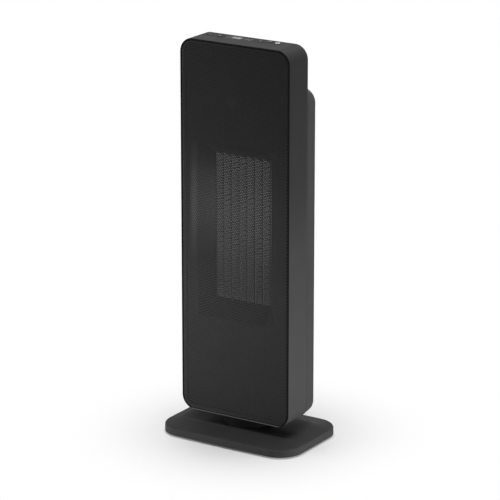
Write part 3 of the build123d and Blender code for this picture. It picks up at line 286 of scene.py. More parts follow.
def finish(name, low, high, rough, grain, depth, patch=PATCH_SIZE, stretch=(1, 1, 1),
           metallic=0.0, specular=0.5, wear_and_highlight=None, glow=None):
    """Material with patches and grain in its colour, roughness and relief.

    low and high are its two colours, rough is the range of its roughness, grain and depth
    are the size and relief of its grain; its edge colour is wear and a painted highlight.
    """
    material = bpy.data.materials.new(name)
    material.use_nodes = True
    tree = material.node_tree
    shader = tree.nodes["Principled BSDF"]
    shader.inputs["Metallic"].default_value = metallic
    shader.inputs["Specular IOR Level"].default_value = specular
    patches = noise(tree, patch, PATCH_DETAIL, stretch)
    grains = noise(tree, grain, GRAIN_DETAIL, stretch)
    colour = ramp(tree, halfway(tree, patches, grains), low, high)
    # Edges lighter: partly wear, partly a painted highlight
    if wear_and_highlight:
        colour = cover(tree, colour, wear_and_highlight, edge_mask(tree))
    tree.links.new(colour, shader.inputs["Base Color"])
    tree.links.new(map_range(tree, patches, *ROUGH_SPAN, *rough), shader.inputs["Roughness"])
    bump = add_node(tree, "ShaderNodeBump")
    bump.inputs["Distance"].default_value = depth
    tree.links.new(grains, bump.inputs["Height"])
    tree.links.new(bump.outputs["Normal"], shader.inputs["Normal"])
    if glow:
        tree.links.new(colour, shader.inputs["Emission Color"])
        shader.inputs["Emission Strength"].default_value = glow
    return material


def along(tree, axis, start, end, low=0.0, high=1.0, **settings):
    """Value from low to high between two places on an axis of the object."""
    coords = add_node(tree, "ShaderNodeTexCoord")
    apart = add_node(tree, "ShaderNodeSeparateXYZ")
    tree.links.new(coords.outputs["Object"], apart.inputs["Vector"])
    return map_range(tree, apart.outputs[axis], start, end, low, high, **settings)


def painted(material, axis, start, end, colour, only=None):
    """Second colour that fades in along an axis of the object, from start to end.

    only, an axis with a start and an end, limits it by a second fade.
    """
    tree = material.node_tree
    base = tree.nodes["Principled BSDF"].inputs["Base Color"]
    under = base.links[0].from_socket
    share = along(tree, axis, start, end, interpolation_type="SMOOTHSTEP")
    if only:
        both = add_node(tree, "ShaderNodeMath", operation="MULTIPLY")
        tree.links.new(share, both.inputs[0])
        tree.links.new(along(tree, *only), both.inputs[1])
        share = both.outputs["Value"]
    tree.links.new(cover(tree, under, colour, share), base)


def shaded(material, axis, start, end, share, **settings):
    """Scale the colour along an axis of the object, to a share of it at the end."""
    tree = material.node_tree
    base = tree.nodes["Principled BSDF"].inputs["Base Color"]
    under = base.links[0].from_socket
    scale = add_node(tree, "ShaderNodeVectorMath", operation="SCALE")
    tree.links.new(under, scale.inputs["Vector"])
    tree.links.new(along(tree, axis, start, end, 1.0, share, **settings), scale.inputs["Scale"])
    tree.links.new(scale.outputs["Vector"], base)


def grey(value, warm=0.0):
    return (value * (1 + warm), value, value * (1 - warm))


# One finish for each material slot of the record
finishes = {
    "black_plastic": finish("satin_black", grey(0.034), grey(0.043), (0.5, 0.6), FINE_GRAIN,
                            GRAIN_DEPTH, specular=0.06, wear_and_highlight=grey(0.09)),
    "inner_plastic": finish("heat_plastic", grey(0.016), grey(0.026), (0.5, 0.65), FINE_GRAIN,
                            GRAIN_DEPTH, specular=0.3),
    "mesh_metal": finish("painted_sheet", grey(0.077), grey(0.083), (0.6, 0.7), 0.3 * MM,
                         0.01 * MM, specular=0.03),
    "steel": finish("zinc_steel", grey(0.45), grey(0.6, -0.02), (0.28, 0.42), 0.25 * MM,
                    0.004 * MM, metallic=1.0, stretch=(1, 1, 6)),
    "aluminium": finish("mill_aluminium", grey(0.72), grey(0.86), (0.35, 0.5), 0.3 * MM,
                        0.006 * MM, metallic=0.6, stretch=(1, 5, 1)),
    "copper": finish("enamelled_wire", (0.45, 0.18, 0.08), (0.75, 0.36, 0.18), (0.25, 0.4),
                     0.6 * MM, 0.1 * MM, metallic=1.0, stretch=(0.1, 0.1, 2)),
    "rubber": finish("matt_rubber", grey(0.014), grey(0.022), (0.75, 0.9), 0.6 * MM, 0.04 * MM,
                     specular=0.2),
    "board": finish("solder_mask", (0.01, 0.09, 0.03), (0.02, 0.14, 0.05), (0.25, 0.4),
                    0.8 * MM, 0.01 * MM),
    "relay_case": finish("relay_blue", (0.02, 0.07, 0.28), (0.03, 0.1, 0.36), (0.25, 0.35),
                         FINE_GRAIN, 0.01 * MM),
    "lens": finish("tinted_lens", (0.006, 0.005, 0.008), (0.01, 0.008, 0.013), (0.06, 0.12),
                   4 * MM, 0.004 * MM, specular=0.35),
    "button": finish("satin_button", grey(0.006), grey(0.009), (0.45, 0.55), FINE_GRAIN,
                     GRAIN_DEPTH / 2, specular=0.06, wear_and_highlight=grey(0.02)),
    "nylon": finish("natural_nylon", (0.66, 0.62, 0.52), (0.76, 0.73, 0.64), (0.42, 0.55),
                    FINE_GRAIN, GRAIN_DEPTH),
    "filter": finish("net_thread", grey(0.02), grey(0.035), (0.55, 0.7), 0.3 * MM, 0.02 * MM),
    "lead": finish("silicone_lead", (0.32, 0.03, 0.02), (0.45, 0.06, 0.04), (0.5, 0.65),
                   0.5 * MM, 0.02 * MM),
}

# Marks and display
mark_white = finish("mark_white", grey(0.5), grey(0.65), (0.4, 0.5), 0.3 * MM, 0.005 * MM,
                    glow=0.15)
mark_grey = finish("mark_grey", grey(0.22), grey(0.3), (0.4, 0.5), 0.3 * MM, 0.005 * MM,
                   glow=0.05)
display_glow = finish("display_glow", (0.15, 0.147, 0.18), (0.19, 0.187, 0.225), (0.3, 0.4),
                      0.4 * MM, 0.002 * MM, patch=8 * MM, specular=0.1, glow=0.45)
display_ink = finish("display_ink", (0.03, 0.03, 0.045), (0.05, 0.048, 0.07), (0.3, 0.4),
                     0.4 * MM, 0.002 * MM, specular=0.1)
display_glass = finish("display_glass", grey(0.008), grey(0.012), (0.3, 0.4), 4 * MM,
                       0.002 * MM, specular=0.05)
eye_lens = finish("eye_lens", (0.004, 0.004, 0.005), (0.006, 0.006, 0.008), (0.3, 0.4), 4 * MM,
                  0.004 * MM, specular=0.3)

# Blacks that differ from their slot's
rocker_black = finish("rocker_black", grey(0.05), grey(0.06), (0.3, 0.4), FINE_GRAIN,
                      GRAIN_DEPTH / 2, specular=0.3, wear_and_highlight=grey(0.1))
# Neck and slide ring: black, and darkened further as painted shade under the tower
neck_black_and_shade = finish("black_neck_with_painted_shade", grey(0.004), grey(0.006), (0.6, 0.7), FINE_GRAIN, GRAIN_DEPTH,
                   specular=0.05)
black_oxide = finish("black_oxide", grey(0.012), grey(0.02), (0.5, 0.6), 0.3 * MM, 0.01 * MM,
                     specular=0.2)
duct_black = finish("duct_black", grey(0.02), grey(0.024), (0.6, 0.7), FINE_GRAIN, GRAIN_DEPTH,
                    specular=0.04)
strip_gloss = finish("strip_gloss", grey(0.01), grey(0.014), (0.4, 0.5), 0.35 * MM, 0.01 * MM,
                     specular=0.03, wear_and_highlight=grey(0.12))

# Base, its sides painted paler than its top: painted light
base_black = finish("base_black", grey(0.029), grey(0.037), (0.6, 0.7), FINE_GRAIN, GRAIN_DEPTH,
                    specular=0.05, wear_and_highlight=grey(0.06))
painted(base_black, "Z", BASE_SIDE_HIGH, BASE_SIDE_LOW, grey(0.045))

# Band: painted shade that darkens it above a soft step, a painted shade line on the dark lip
# round the sheet, a painted highlight on the sole in front and painted shade on the rest of the
# sole, and painted shade on its top. The rear cover pales towards its top: painted light.
shell_satin = finish("shell_satin", grey(0.049), grey(0.059), (0.5, 0.6), FINE_GRAIN,
                     GRAIN_DEPTH, specular=0.04, wear_and_highlight=grey(0.13))
shaded(shell_satin, "Z", BAND_FADE_LOW, BAND_FADE_HIGH, BAND_TOP_SHARE,
       interpolation_type="SMOOTHSTEP")
painted(shell_satin, "Y", LIP_DEPTH + LIP_FADE, LIP_DEPTH, grey(0.006))
for value, first, last in ((0.12, SOLE_BACK, SOLE_FRONT), (0.01, SOLE_FRONT, SOLE_BACK)):
    painted(shell_satin, "Z", SOLE_LEVEL + SOLE_FADE, SOLE_LEVEL, grey(value),
            ("Y", first, last))
painted(shell_satin, "Z", TOP_LEVEL - TOP_FADE, TOP_LEVEL, grey(0.026))
shaded(finishes["black_plastic"], "Z", REAR_FADE_LOW, REAR_FADE_HIGH, REAR_TOP_SHARE)

# Front sheet and its rim, with painted shade: both darker to the right, the sheet also darker
# towards its top and its foot
sheet_edge = finish("sheet_edge", grey(0.045), grey(0.055), (0.5, 0.6), 0.3 * MM, 0.01 * MM,
                    specular=0.04)
shaded(sheet_edge, "X", -SHEET_HALF, SHEET_HALF, RIM_RIGHT_SHARE)
painted(finishes["mesh_metal"], "Z", SHEET_FADE_LOW, SHEET_FADE_HIGH, grey(0.056))
shaded(finishes["mesh_metal"], "X", -SHEET_HALF, SHEET_HALF, SHEET_RIGHT_SHARE)
shaded(finishes["mesh_metal"], "Z", SHEET_FOOT_HIGH, SHEET_FOOT_LOW, SHEET_FOOT_SHARE)

# Heating core, darker towards its foot and between the folds: painted shade
bar_metal = finish("bar_metal", grey(0.32), grey(0.38), (0.5, 0.6), 0.4 * MM, 0.01 * MM,
                   specular=0.3)
fin_metal = finish("fin_metal", grey(0.48), grey(0.56), (0.4, 0.55), 0.3 * MM, 0.006 * MM,
                   metallic=0.2, stretch=(1, 5, 1), specular=0.2)
for material, value in ((fin_metal, 0.16), (bar_metal, 0.04)):
    painted(material, "Z", PAINTED_LIGHT_LEVEL, CORE_FOOT, grey(value))
painted(fin_metal, "Y", FIN_DARK_START, FIN_DARK_END, grey(0.2))

# Funnel and the rounded strip at the window's edge: a painted pool of light, brightest at its
# level and dark above and below. Painted shade darkens the funnel's right wall and the strip's
# outer side.
liner_grey = finish("liner_grey", grey(0.4), grey(0.44), (0.4, 0.5), 0.5 * MM, 0.01 * MM,
                    specular=0.03)
strip_highlight = finish("strip_highlight", grey(0.42), grey(0.46), (0.3, 0.4), 0.5 * MM, 0.01 * MM,
                     specular=0.03)
for material, top, foot in ((liner_grey, 0.004, 0.005), (strip_highlight, 0.04, 0.02)):
    painted(material, "Z", PAINTED_LIGHT_LEVEL, PAINTED_LIGHT_TOP, grey(top))
    painted(material, "Z", PAINTED_LIGHT_LEVEL, PAINTED_LIGHT_FOOT, grey(foot))
painted(liner_grey, "X", CORE_HALF - LINER_GAP, CORE_HALF + LINER_FADE, grey(0.03))
painted(strip_highlight, "X", -WINDOW_HALF - STRIP_HIGHLIGHT_FADE, -WINDOW_HALF - HIGHLIGHT_STRIP_WIDTH,
        grey(0.014))

for row in frame["record"]["subparts"]:
    for place in nodes[row["node"]].material_slots:
        place.material = finishes[row["material_slot"]]
own_finishes = {
    "base_cover": base_black, "front_shell": shell_satin, "core_bars": bar_metal,
    "outlet_duct": duct_black, "grille_frame": duct_black, "duct_screws": black_oxide,
    "swivel_neck": neck_black_and_shade, "slide_ring": neck_black_and_shade, "control_panel": strip_gloss,
    "display_lens": display_glass, "receiver_lens": eye_lens, "main_rocker": rocker_black,
}
for name, material in own_finishes.items():
    nodes[name].material_slots[0].material = material


# Meshes


def make_piece(name, points, faces, material, body, tidy=True):
    """Mesh object that rides on a body and takes its finish from a slot."""
    mesh = bpy.data.meshes.new(name)
    mesh.from_pydata(points, [], faces)
    if tidy:
        work = bmesh.new()
        work.from_mesh(mesh)
        bmesh.ops.recalc_face_normals(work, faces=work.faces)
        work.to_mesh(mesh)
        work.free()
    mesh.update()
    mesh.materials.append(material)
    piece = bpy.data.objects.new(name, mesh)
    bpy.context.scene.collection.objects.link(piece)
    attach(piece, body)
    return piece


def rounded_outline(half, low, high, corner):
    """Points round an upright rounded rectangle, each with its outward direction."""
    line = []
    middles = ((half - corner, high - corner), (corner - half, high - corner),
               (corner - half, low + corner), (half - corner, low + corner))
    for quarter, (x, z) in enumerate(middles):
        for step in range(CORNER_STEPS + 1):
            turn = (quarter + step / CORNER_STEPS) * pi / 2
            line.append((x + corner * cos(turn), z + corner * sin(turn), cos(turn), sin(turn)))
    return line


def sweep_round(outline, profile):
    """Closed ring: a profile of outward offset and depth carried round an outline."""
    points, faces = [], []
    size = len(profile)
    for x, z, out_x, out_z in outline:
        points += [(x + out_x * away, depth, z + out_z * away) for away, depth in profile]
    total = len(outline)
    for place in range(total):
        for step in range(size):
            here, there = place * size, (place + 1) % total * size
            after = (step + 1) % size
            faces.append((here + step, there + step, there + after, here + after))
    return points, faces


def inside_outline(x, z, half, low, high, corner):
    if abs(x) > half or z < low or z > high:
        return False
    beyond_x = abs(x) - (half - corner)
    beyond_z = max(low + corner - z, z - (high - corner))
    return min(beyond_x, beyond_z) < 0 or hypot(beyond_x, beyond_z) < corner


def sheet_cells(half, low, high, corner):
    """Centres of the staggered holes inside an outline."""
    row_rise = HOLE_PITCH * sqrt(3) / 2
    rows = int((high - low) / row_rise)
    across = int(half / HOLE_PITCH) + 1
    cells = []
    for row in range(rows + 1):
        z = (low + high) / 2 + (row - rows / 2) * row_rise
        for place in range(-across, across + 1):
            x = (place + row % 2 / 2) * HOLE_PITCH
            if inside_outline(x, z, half, low, high, corner):
                cells.append((x, z))
    return cells


def perforated_sheet(cells, front, back):
    """Closed sheet of six-sided cells, each with a six-sided hole through it."""
    points, faces, index, outer_edges = [], [], {}, {}
    turns = [(step + 0.5) * 2 * pi / HOLE_SIDES for step in range(HOLE_SIDES)]
    reach = HOLE_PITCH / sqrt(3)

    def shared(x, y, z):
        key = (round(x / WELD_GAP), y, round(z / WELD_GAP))
        if key not in index:
            index[key] = len(points)
            points.append((x, y, z))
        return index[key]

    for x, z in cells:
        rings = []
        for y in (front, back):
            outer = [shared(x + reach * cos(t), y, z + reach * sin(t)) for t in turns]
            first = len(points)
            points.extend((x + HOLE_RADIUS * cos(t), y, z + HOLE_RADIUS * sin(t)) for t in turns)
            rings.append((outer, range(first, first + HOLE_SIDES)))
        (outer, inner), (far_outer, far_inner) = rings
        for k in range(HOLE_SIDES):
            n = (k + 1) % HOLE_SIDES
            faces.append((outer[k], outer[n], inner[n], inner[k]))
            faces.append((far_outer[n], far_outer[k], far_inner[k], far_inner[n]))
            faces.append((inner[k], inner[n], far_inner[n], far_inner[k]))
            edge = frozenset((outer[k], outer[n]))
            if edge in outer_edges:
                del outer_edges[edge]
            else:
                outer_edges[edge] = (outer[n], outer[k], far_outer[k], far_outer[n])
    faces += outer_edges.values()
    return points, faces


def bars(lines, low, high, width, flat):
    """Closed flat bars along lines, each given as its points and True where it is a ring.

    flat turns a point of a line and a height into a place.
    """
    points, faces = [], []
    for line, closed in lines:
        first = len(points)
        count = len(line)
        for place, (u, v) in enumerate(line):
            before = line[place - 1] if place or closed else line[place]
            after = line[(place + 1) % count] if place < count - 1 or closed else line[place]
            run = Vector((after[0] - before[0], after[1] - before[1])).normalized() * (width / 2)
            for side in (-1, 1):
                for height in (low, high):
                    points.append(flat(u - side * run.y, v + side * run.x, height))
        for place in range(count if closed else count - 1):
            here, there = first + 4 * place, first + 4 * ((place + 1) % count)
            for a, b in ((0, 1), (1, 3), (3, 2), (2, 0)):
                faces.append((here + a, there + a, there + b, here + b))
        if not closed:
            last = first + 4 * (count - 1)
            faces.append((first, first + 1, first + 3, first + 2))
            faces.append((last, last + 2, last + 3, last + 1))
    return points, faces


def arc(u, v, radius, start, end):
    """Points along an arc, in degrees."""
    steps = max(2, int(abs(end - start) / ARC_STEP))
    turns = [radians(start + (end - start) * step / steps) for step in range(steps + 1)]
    return [(u + radius * cos(t), v + radius * sin(t)) for t in turns]


def circle(u, v, radius):
    return arc(u, v, radius, 0, 360)[:-1]


def in_metres(lines):
    return [([(u * MM, v * MM) for u, v in line], closed) for line, closed in lines]


# Front: perforated sheet, its rim, and the funnel and core behind it


def front_sheet():
    low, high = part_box("front_grille")
    half = high.x
    front = low.y + SHEET_FRONT
    back = front + SHEET_THICKNESS
    cells = sheet_cells(half - SHEET_MARGIN, low.z + SHEET_MARGIN, high.z - SHEET_MARGIN,
                        SHEET_CORNER - SHEET_MARGIN)
    cells.sort(key=lambda cell: cell[1])
    share = len(cells) / SHEET_BANDS
    for band in range(SHEET_BANDS):
        part = cells[int(band * share):int((band + 1) * share)]
        points, faces = perforated_sheet(part, front, back)
        piece = make_piece(f"perforated_sheet_{band + 1}", points, faces,
                           finishes["mesh_metal"], "tower", tidy=False)
        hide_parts("front_grille")
    outline = rounded_outline(half, low.z, high.z, SHEET_CORNER)
    profile = ((0, low.y + RIM_ROUND), (-RIM_ROUND, low.y), (RIM_ROUND - RIM_WIDTH, low.y),
               (-RIM_WIDTH, low.y + RIM_ROUND), (-RIM_WIDTH, high.y), (0, high.y))
    points, faces = sweep_round(outline, profile)
    rim = make_piece("sheet_rim", points, faces, sheet_edge, "tower")
    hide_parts("front_grille")


def funnel_liner():
    """Thin metal sheet on the four walls between the window and the core."""
    rings = []
    for inset in (LINER_GAP, LINER_GAP + LINER_THICKNESS):
        window = rounded_outline(WINDOW_HALF - inset, WINDOW_LOW + inset, WINDOW_HIGH - inset,
                                 WINDOW_CORNER)
        core = rounded_outline(CORE_HALF - inset, CORE_LOW + inset, CORE_HIGH - inset,
                               CORE_CORNER)
        rings.append([(x, WINDOW_DEPTH, z) for x, z, _, _ in window])
        rings.append([(x, CORE_DEPTH, z) for x, z, _, _ in core])
    near_out, far_out, near_in, far_in = rings
    points, faces = [], []
    rings = (near_out, far_out, far_in, near_in)
    count = len(near_out)
    for ring in rings:
        points += ring
    for place in range(len(rings)):
        here, there = place * count, (place + 1) % len(rings) * count
        for k in range(count):
            after = (k + 1) % count
            faces.append((here + k, here + after, there + after, there + k))
    make_piece("funnel_liner", points, faces, liner_grey, "tower")


def highlight_strip():
    """Rounded strip that falls into the window along its left edge; its grey is a painted
    highlight.
    """
    columns, rows = HIGHLIGHT_STRIP_COLUMNS, HIGHLIGHT_STRIP_ROWS
    right = -WINDOW_HALF + HIGHLIGHT_STRIP_OVERHANG
    left = right - HIGHLIGHT_STRIP_WIDTH
    points, faces = [], []
    for row in range(rows + 1):
        z = WINDOW_LOW + (WINDOW_HIGH - WINDOW_LOW) * row / rows
        ends = sin(pi * row / rows) if 0 < row < rows else 0
        for column in range(columns + 1):
            share = column / columns
            crown = HIGHLIGHT_STRIP_RISE * sqrt(1 - share ** 2) * ends
            points.append((left + (right - left) * share, WINDOW_DEPTH - crown, z))
    wide = columns + 1
    for row in range(rows):
        for column in range(columns):
            here = row * wide + column
            faces.append((here, here + 1, here + wide + 1, here + wide))
    edge = list(range(wide)) + [row * wide + columns for row in range(1, rows + 1)]
    edge += [rows * wide + k for k in reversed(range(columns))]
    edge += [row * wide for row in reversed(range(1, rows))]
    first = len(points)
    points += [(points[k][0], WINDOW_DEPTH + LINER_THICKNESS, points[k][2]) for k in edge]
    size = len(edge)
    for k in range(size):
        faces.append((edge[k], edge[(k + 1) % size], first + (k + 1) % size, first + k))
    faces.append(tuple(range(first, first + size)))
    make_piece("highlight_strip", points, faces, strip_highlight, "tower")


def fin_strips():
    """Fine folded strips between the bars of the core."""
    low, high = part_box("core_fins")
    wide = (high.x - low.x - (FIN_COLUMNS - 1) * BAR_WIDTH) / FIN_COLUMNS
    waves = int((high.z - low.z) / FIN_PITCH)
    rise = (high.z - low.z) / waves
    lines = []
    for column in range(FIN_COLUMNS):
        left = low.x + column * (wide + BAR_WIDTH) + FIN_SHEET / 2
        right = left + wide - FIN_SHEET
        line = []
        for wave in range(waves):
            foot = low.z + wave * rise + FIN_SHEET
            line += [(left, foot), (left, foot + FIN_CREST), (right, foot + rise / 2),
                     (right, foot + rise / 2 + FIN_CREST)]
        lines.append((line, False))

    def upright(u, v, height):
        return (u, height, v)

    points, faces = bars(lines, low.y, high.y, FIN_SHEET, upright)
    piece = make_piece("fin_strips", points, faces, fin_metal, "tower")
    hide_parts("core_fins")


# Top: button marks, display and level marks


def top_marks():
    """Generic signs, in millimetres from the middle of each button, to be read from the front."""
    steam = [[(x + 0.45 * sin(step * pi / 4), -2.2 + step * 0.55) for step in range(9)]
             for x in (-1.7, 0, 1.7)]
    return {
        "power_button": [(arc(0, -0.3, 2.3, 125, 415), False), ([(0, 0.4), (0, 2.9)], False)],
        "mode_button": [(line, False) for line in steam],
        "swing_button": [(arc(0, -1.8, 3.0, 35, 145), False),
                         ([(-3.0, 0.9), (-2.45, -0.1), (-1.5, 0.35)], False),
                         ([(3.0, 0.9), (2.45, -0.1), (1.5, 0.35)], False),
                         (circle(0, -1.8, 0.7), True)],
        "timer_button": [(circle(0, 0, 2.5), True), ([(0, -0.2), (0, 1.5)], False),
                         ([(0.2, 0), (1.3, 0)], False)],
        "temperature_button": [(circle(0, 0, 2.6), True)],
    }


def button_marks():
    for name, lines in top_marks().items():
        low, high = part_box(name)
        middle = (low + high) / 2
        top = high.z

        def flat(u, v, height):
            return (middle.x + u, middle.y + v, top + height)

        bright = name == BRIGHT_MARK
        ink = mark_white if bright else mark_grey
        width = MARK_WIDTH * (BOLD_SHARE if bright else 1)
        points, faces = bars(in_metres(lines), -MARK_RISE, MARK_RISE, width, flat)
        make_piece(f"{name}_mark", points, faces, ink, name)


def digit_lines(pattern, left, low):
    """Seven-segment digit as bars; the pattern names its lit segments."""
    right, middle, high = left + DIGIT_WIDTH, low + DIGIT_HEIGHT / 2, low + DIGIT_HEIGHT
    gap = FINE_WIDTH
    segments = {
        "a": ((left + gap, high), (right - gap, high)),
        "b": ((right, middle + gap), (right, high - gap)),
        "c": ((right, low + gap), (right, middle - gap)),
        "d": ((left + gap, low), (right - gap, low)),
        "e": ((left, low + gap), (left, middle - gap)),
        "f": ((left, middle + gap), (left, high - gap)),
        "g": ((left + gap, middle), (right - gap, middle)),
    }
    return [(list(segments[key]), False) for key in pattern]


def display():
    low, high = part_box("display_lens")
    top = high.z
    left, right = high.x - FIELD_SIDE - FIELD_LENGTH, high.x - FIELD_SIDE
    near, far = low.y + FIELD_END, high.y - FIELD_END
    middle = (near + far) / 2
    digit_low = middle - DIGIT_HEIGHT / 2

    def flat(u, v, height):
        return (u, v, top + height)

    def ink(name, lines, width):
        points, faces = bars(lines, MARK_RISE / 4, MARK_RISE, width, flat)
        make_piece(name, points, faces, display_ink, "tower")

    field = [([(left, middle), (right, middle)], False)]
    points, faces = bars(field, -MARK_RISE, MARK_RISE / 2, far - near, flat)
    make_piece("display_field", points, faces, display_glow, "tower")
    lines = []
    for pattern, place in DIGITS:
        lines += digit_lines(pattern, left + place, digit_low)
    ink("display_digits", lines, SEGMENT_WIDTH)
    degree = circle(left + DEGREE_PLACE, digit_low + DIGIT_HEIGHT - DEGREE_DROP, DEGREE_RADIUS)
    ink("display_degree", [(degree, True)], FINE_WIDTH)


def level_marks():
    """Slanted marks beside the display, each taller than the one before."""
    low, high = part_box("control_panel")

    def flat(u, v, height):
        return (u, v, high.z + height)

    middle = (low.y + high.y) / 2
    lines = []
    for step in range(LEVEL_MARKS):
        x = (step - (LEVEL_MARKS - 1) / 2) * LEVEL_PITCH
        tall = LEVEL_HALF + step * LEVEL_GROWTH
        lines.append(([(x - LEVEL_LEAN, middle - tall), (x + LEVEL_LEAN, middle + tall)], False))
    points, faces = bars(lines, -MARK_RISE, MARK_RISE, LEVEL_WIDTH, flat)
    make_piece("level_marks", points, faces, mark_grey, "tower")


# Back: filter net, screw heads and rocker marks


def filter_net():
    """Threads of the net, the upright ones in front of the level ones."""
    low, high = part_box("filter_mesh")
    middle = (low + high) / 2
    half = NET_THREAD / 2
    clear = half * NET_CLEAR

    def spaced(start, end):
        count = int((end - start) / NET_PITCH)
        return [(start + end) / 2 + (k - (count - 1) / 2) * NET_PITCH for k in range(count)]

    def threads(name, lines, front, back):
        points, faces = bars(lines, front, back, NET_THREAD,
                             lambda u, v, height: (u, middle.y + height, v))
        piece = make_piece(name, points, faces, finishes["filter"], "dust_filter")
        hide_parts("filter_mesh")

    upright = [([(x, low.z), (x, high.z)], False) for x in spaced(low.x, high.x)]
    threads("net_threads_upright", upright, -half, clear)
    level = [([(low.x, z), (high.x, z)], False) for z in spaced(low.z, high.z)]
    threads("net_threads_level", level, -clear, half)


def recess_reach(turn, long, half):
    """Distance from the middle to the edge of a cross at one angle."""
    part = turn % (pi / 2)
    part = min(part, pi / 2 - part)
    return long / cos(part) if part < atan2(half, long) else half / sin(part)


def screw_heads(places):
    """Points and faces of pan heads with a cross recess that face the back."""
    long, half = SCREW_RADIUS * RECESS_LENGTH, SCREW_RADIUS * RECESS_WIDTH
    corner = atan2(half, long)
    between = (corner + pi / 4) / 2
    quarter = [0, corner, between, pi / 4, pi / 2 - between, pi / 2 - corner]
    turns = [q * pi / 2 + t for q in range(4) for t in quarter]
    size = len(turns)
    points, faces = [], []
    for x, y, z in places:
        first = len(points)
        for number, (share, height) in enumerate(HEAD_RINGS):
            for turn in turns:
                full = recess_reach(turn, long, half) if number < RECESS_RINGS else SCREW_RADIUS
                reach = full * share
                points.append((x + reach * cos(turn), y + SCREW_RISE * (1 + height),
                               z + reach * sin(turn)))
        for number in range(len(HEAD_RINGS) - 1):
            here, there = first + number * size, first + (number + 1) * size
            for k in range(size):
                after = (k + 1) % size
                faces.append((here + k, here + after, there + after, there + k))
        faces.append(tuple(range(first, first + size)))
        last = first + (len(HEAD_RINGS) - 1) * size
        faces.append(tuple(range(last, last + size)))
    return points, faces


def visible_screws():
    """Heads of the screws that show at the back; their shanks stay hidden."""
    low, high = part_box("shell_screws")
    x = high.x - SCREW_RADIUS
    seat = high.y - SCREW_RISE
    levels = (low.z + SCREW_RADIUS, SCREW_MIDDLE, high.z - SCREW_RADIUS)
    points, faces = screw_heads([(side * x, seat, z) for side in (-1, 1) for z in levels])
    piece = make_piece("shell_screw_heads", points, faces, finishes["steel"], "tower")
    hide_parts("shell_screws")


def rocker_marks():
    """Line and ring, the usual signs for on and off, on the rocker's two sloping faces.

    They are drawn in millimetres from the rocker's middle, and lie as it is tilted at rest.
    """
    low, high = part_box("rocker_housing")
    middle = (low + high) / 2
    pivot_y = high.y - ROCKER_PIVOT_DEPTH
    tilt = radians(ROCKER_TILT)
    slope = (ROCKER_CROWN - ROCKER_END) / ROCKER_HALF

    def on_face(u, v, height):
        out = ROCKER_CROWN - abs(v) * slope + height
        down = v * cos(tilt) - out * sin(tilt)
        return (middle.x + u, pivot_y + v * sin(tilt) + out * cos(tilt), middle.z - down)

    line = [([(0, -5.7), (0, -2.5)], False)]
    ring = [(circle(0, 4.1, 1.5), True)]
    for name, lines in (("on_mark", line), ("off_mark", ring)):
        points, faces = bars(in_metres(lines), -MARK_RISE, MARK_RISE, MARK_WIDTH, on_face)
        make_piece(f"rocker_{name}", points, faces, mark_white, "main_rocker")


# Stage, lamps and camera


def seen_rays(tree):
    """One for camera, glossy and transmission rays."""
    path = add_node(tree, "ShaderNodeLightPath")
    most = path.outputs["Is Camera Ray"]
    for name in ("Is Glossy Ray", "Is Transmission Ray"):
        node = add_node(tree, "ShaderNodeMath", operation="MAXIMUM")
        tree.links.new(most, node.inputs[0])
        tree.links.new(path.outputs[name], node.inputs[1])
        most = node.outputs["Value"]
    return most


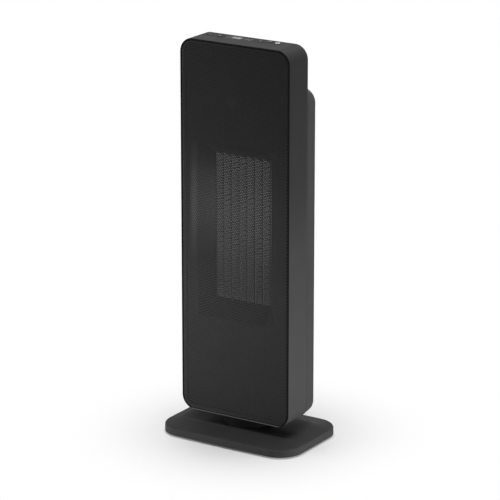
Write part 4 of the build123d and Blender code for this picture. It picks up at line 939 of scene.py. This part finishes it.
def stage_floor():
    """Floor that keeps the shadow near the object and is white to the eye further out."""
    signs = ((-1, -1), (1, -1), (1, 1), (-1, 1))
    mesh = bpy.data.meshes.new("floor")
    mesh.from_pydata([(x * FLOOR_HALF, y * FLOOR_HALF, 0) for x, y in signs], [], [(0, 1, 2, 3)])
    floor = bpy.data.objects.new("floor", mesh)
    bpy.context.scene.collection.objects.link(floor)
    material = bpy.data.materials.new("floor_white")
    material.use_nodes = True
    tree = material.node_tree
    shader = tree.nodes["Principled BSDF"]
    shader.inputs["Base Color"].default_value = (*grey(FLOOR_GREY), 1)
    shader.inputs["Roughness"].default_value = FLOOR_ROUGHNESS
    shader.inputs["Specular IOR Level"].default_value = 0.0
    shine = add_node(tree, "ShaderNodeEmission")
    coords = add_node(tree, "ShaderNodeTexCoord")
    length = add_node(tree, "ShaderNodeVectorMath", operation="LENGTH")
    tree.links.new(coords.outputs["Object"], length.inputs[0])
    far = map_range(tree, length.outputs["Value"], SHADOW_NEAR, SHADOW_FAR,
                    interpolation_type="SMOOTHSTEP")
    both = add_node(tree, "ShaderNodeMath", operation="MULTIPLY")
    tree.links.new(far, both.inputs[0])
    tree.links.new(seen_rays(tree), both.inputs[1])
    blend = add_node(tree, "ShaderNodeMixShader")
    tree.links.new(both.outputs["Value"], blend.inputs["Fac"])
    tree.links.new(shader.outputs["BSDF"], blend.inputs[1])
    tree.links.new(shine.outputs["Emission"], blend.inputs[2])
    tree.links.new(blend.outputs["Shader"], tree.nodes["Material Output"].inputs["Surface"])
    mesh.materials.append(material)


def stage_world():
    """White to the eye and in reflections; a lower even light on matt surfaces."""
    world = bpy.data.worlds.new("studio")
    bpy.context.scene.world = world
    world.use_nodes = True
    tree = world.node_tree
    background = tree.nodes["Background"]
    background.inputs["Color"].default_value = (*grey(1.0), 1)
    strength = map_range(tree, seen_rays(tree), 0.0, 1.0, WORLD_LEVEL, 1.0)
    tree.links.new(strength, background.inputs["Strength"])


def soft_lamp(name, place, target, sides, power, fan):
    lamp = bpy.data.lights.new(name, "AREA")
    lamp.shape = "RECTANGLE"
    lamp.size, lamp.size_y = sides
    lamp.spread = radians(fan)
    lamp.energy = power
    holder = bpy.data.objects.new(name, lamp)
    holder.location = place
    holder.rotation_euler = (Vector(target) - Vector(place)).to_track_quat("-Z", "Y").to_euler()
    holder.visible_camera = False
    bpy.context.scene.collection.objects.link(holder)


def camera():
    data = bpy.data.cameras.new("camera")
    data.lens = CAMERA_LENS
    holder = bpy.data.objects.new("camera", data)
    holder.location = CAMERA_PLACE
    holder.rotation_euler = (radians(90 - CAMERA_PITCH), 0, radians(CAMERA_YAW))
    bpy.context.scene.collection.objects.link(holder)
    bpy.context.scene.camera = holder


front_sheet()
funnel_liner()
highlight_strip()
fin_strips()
button_marks()
display()
level_marks()
filter_net()
visible_screws()
rocker_marks()

stage_floor()
stage_world()
for lamp in LAMPS:
    soft_lamp(*lamp)
bpy.context.scene.view_settings.view_transform = "Standard"
camera()
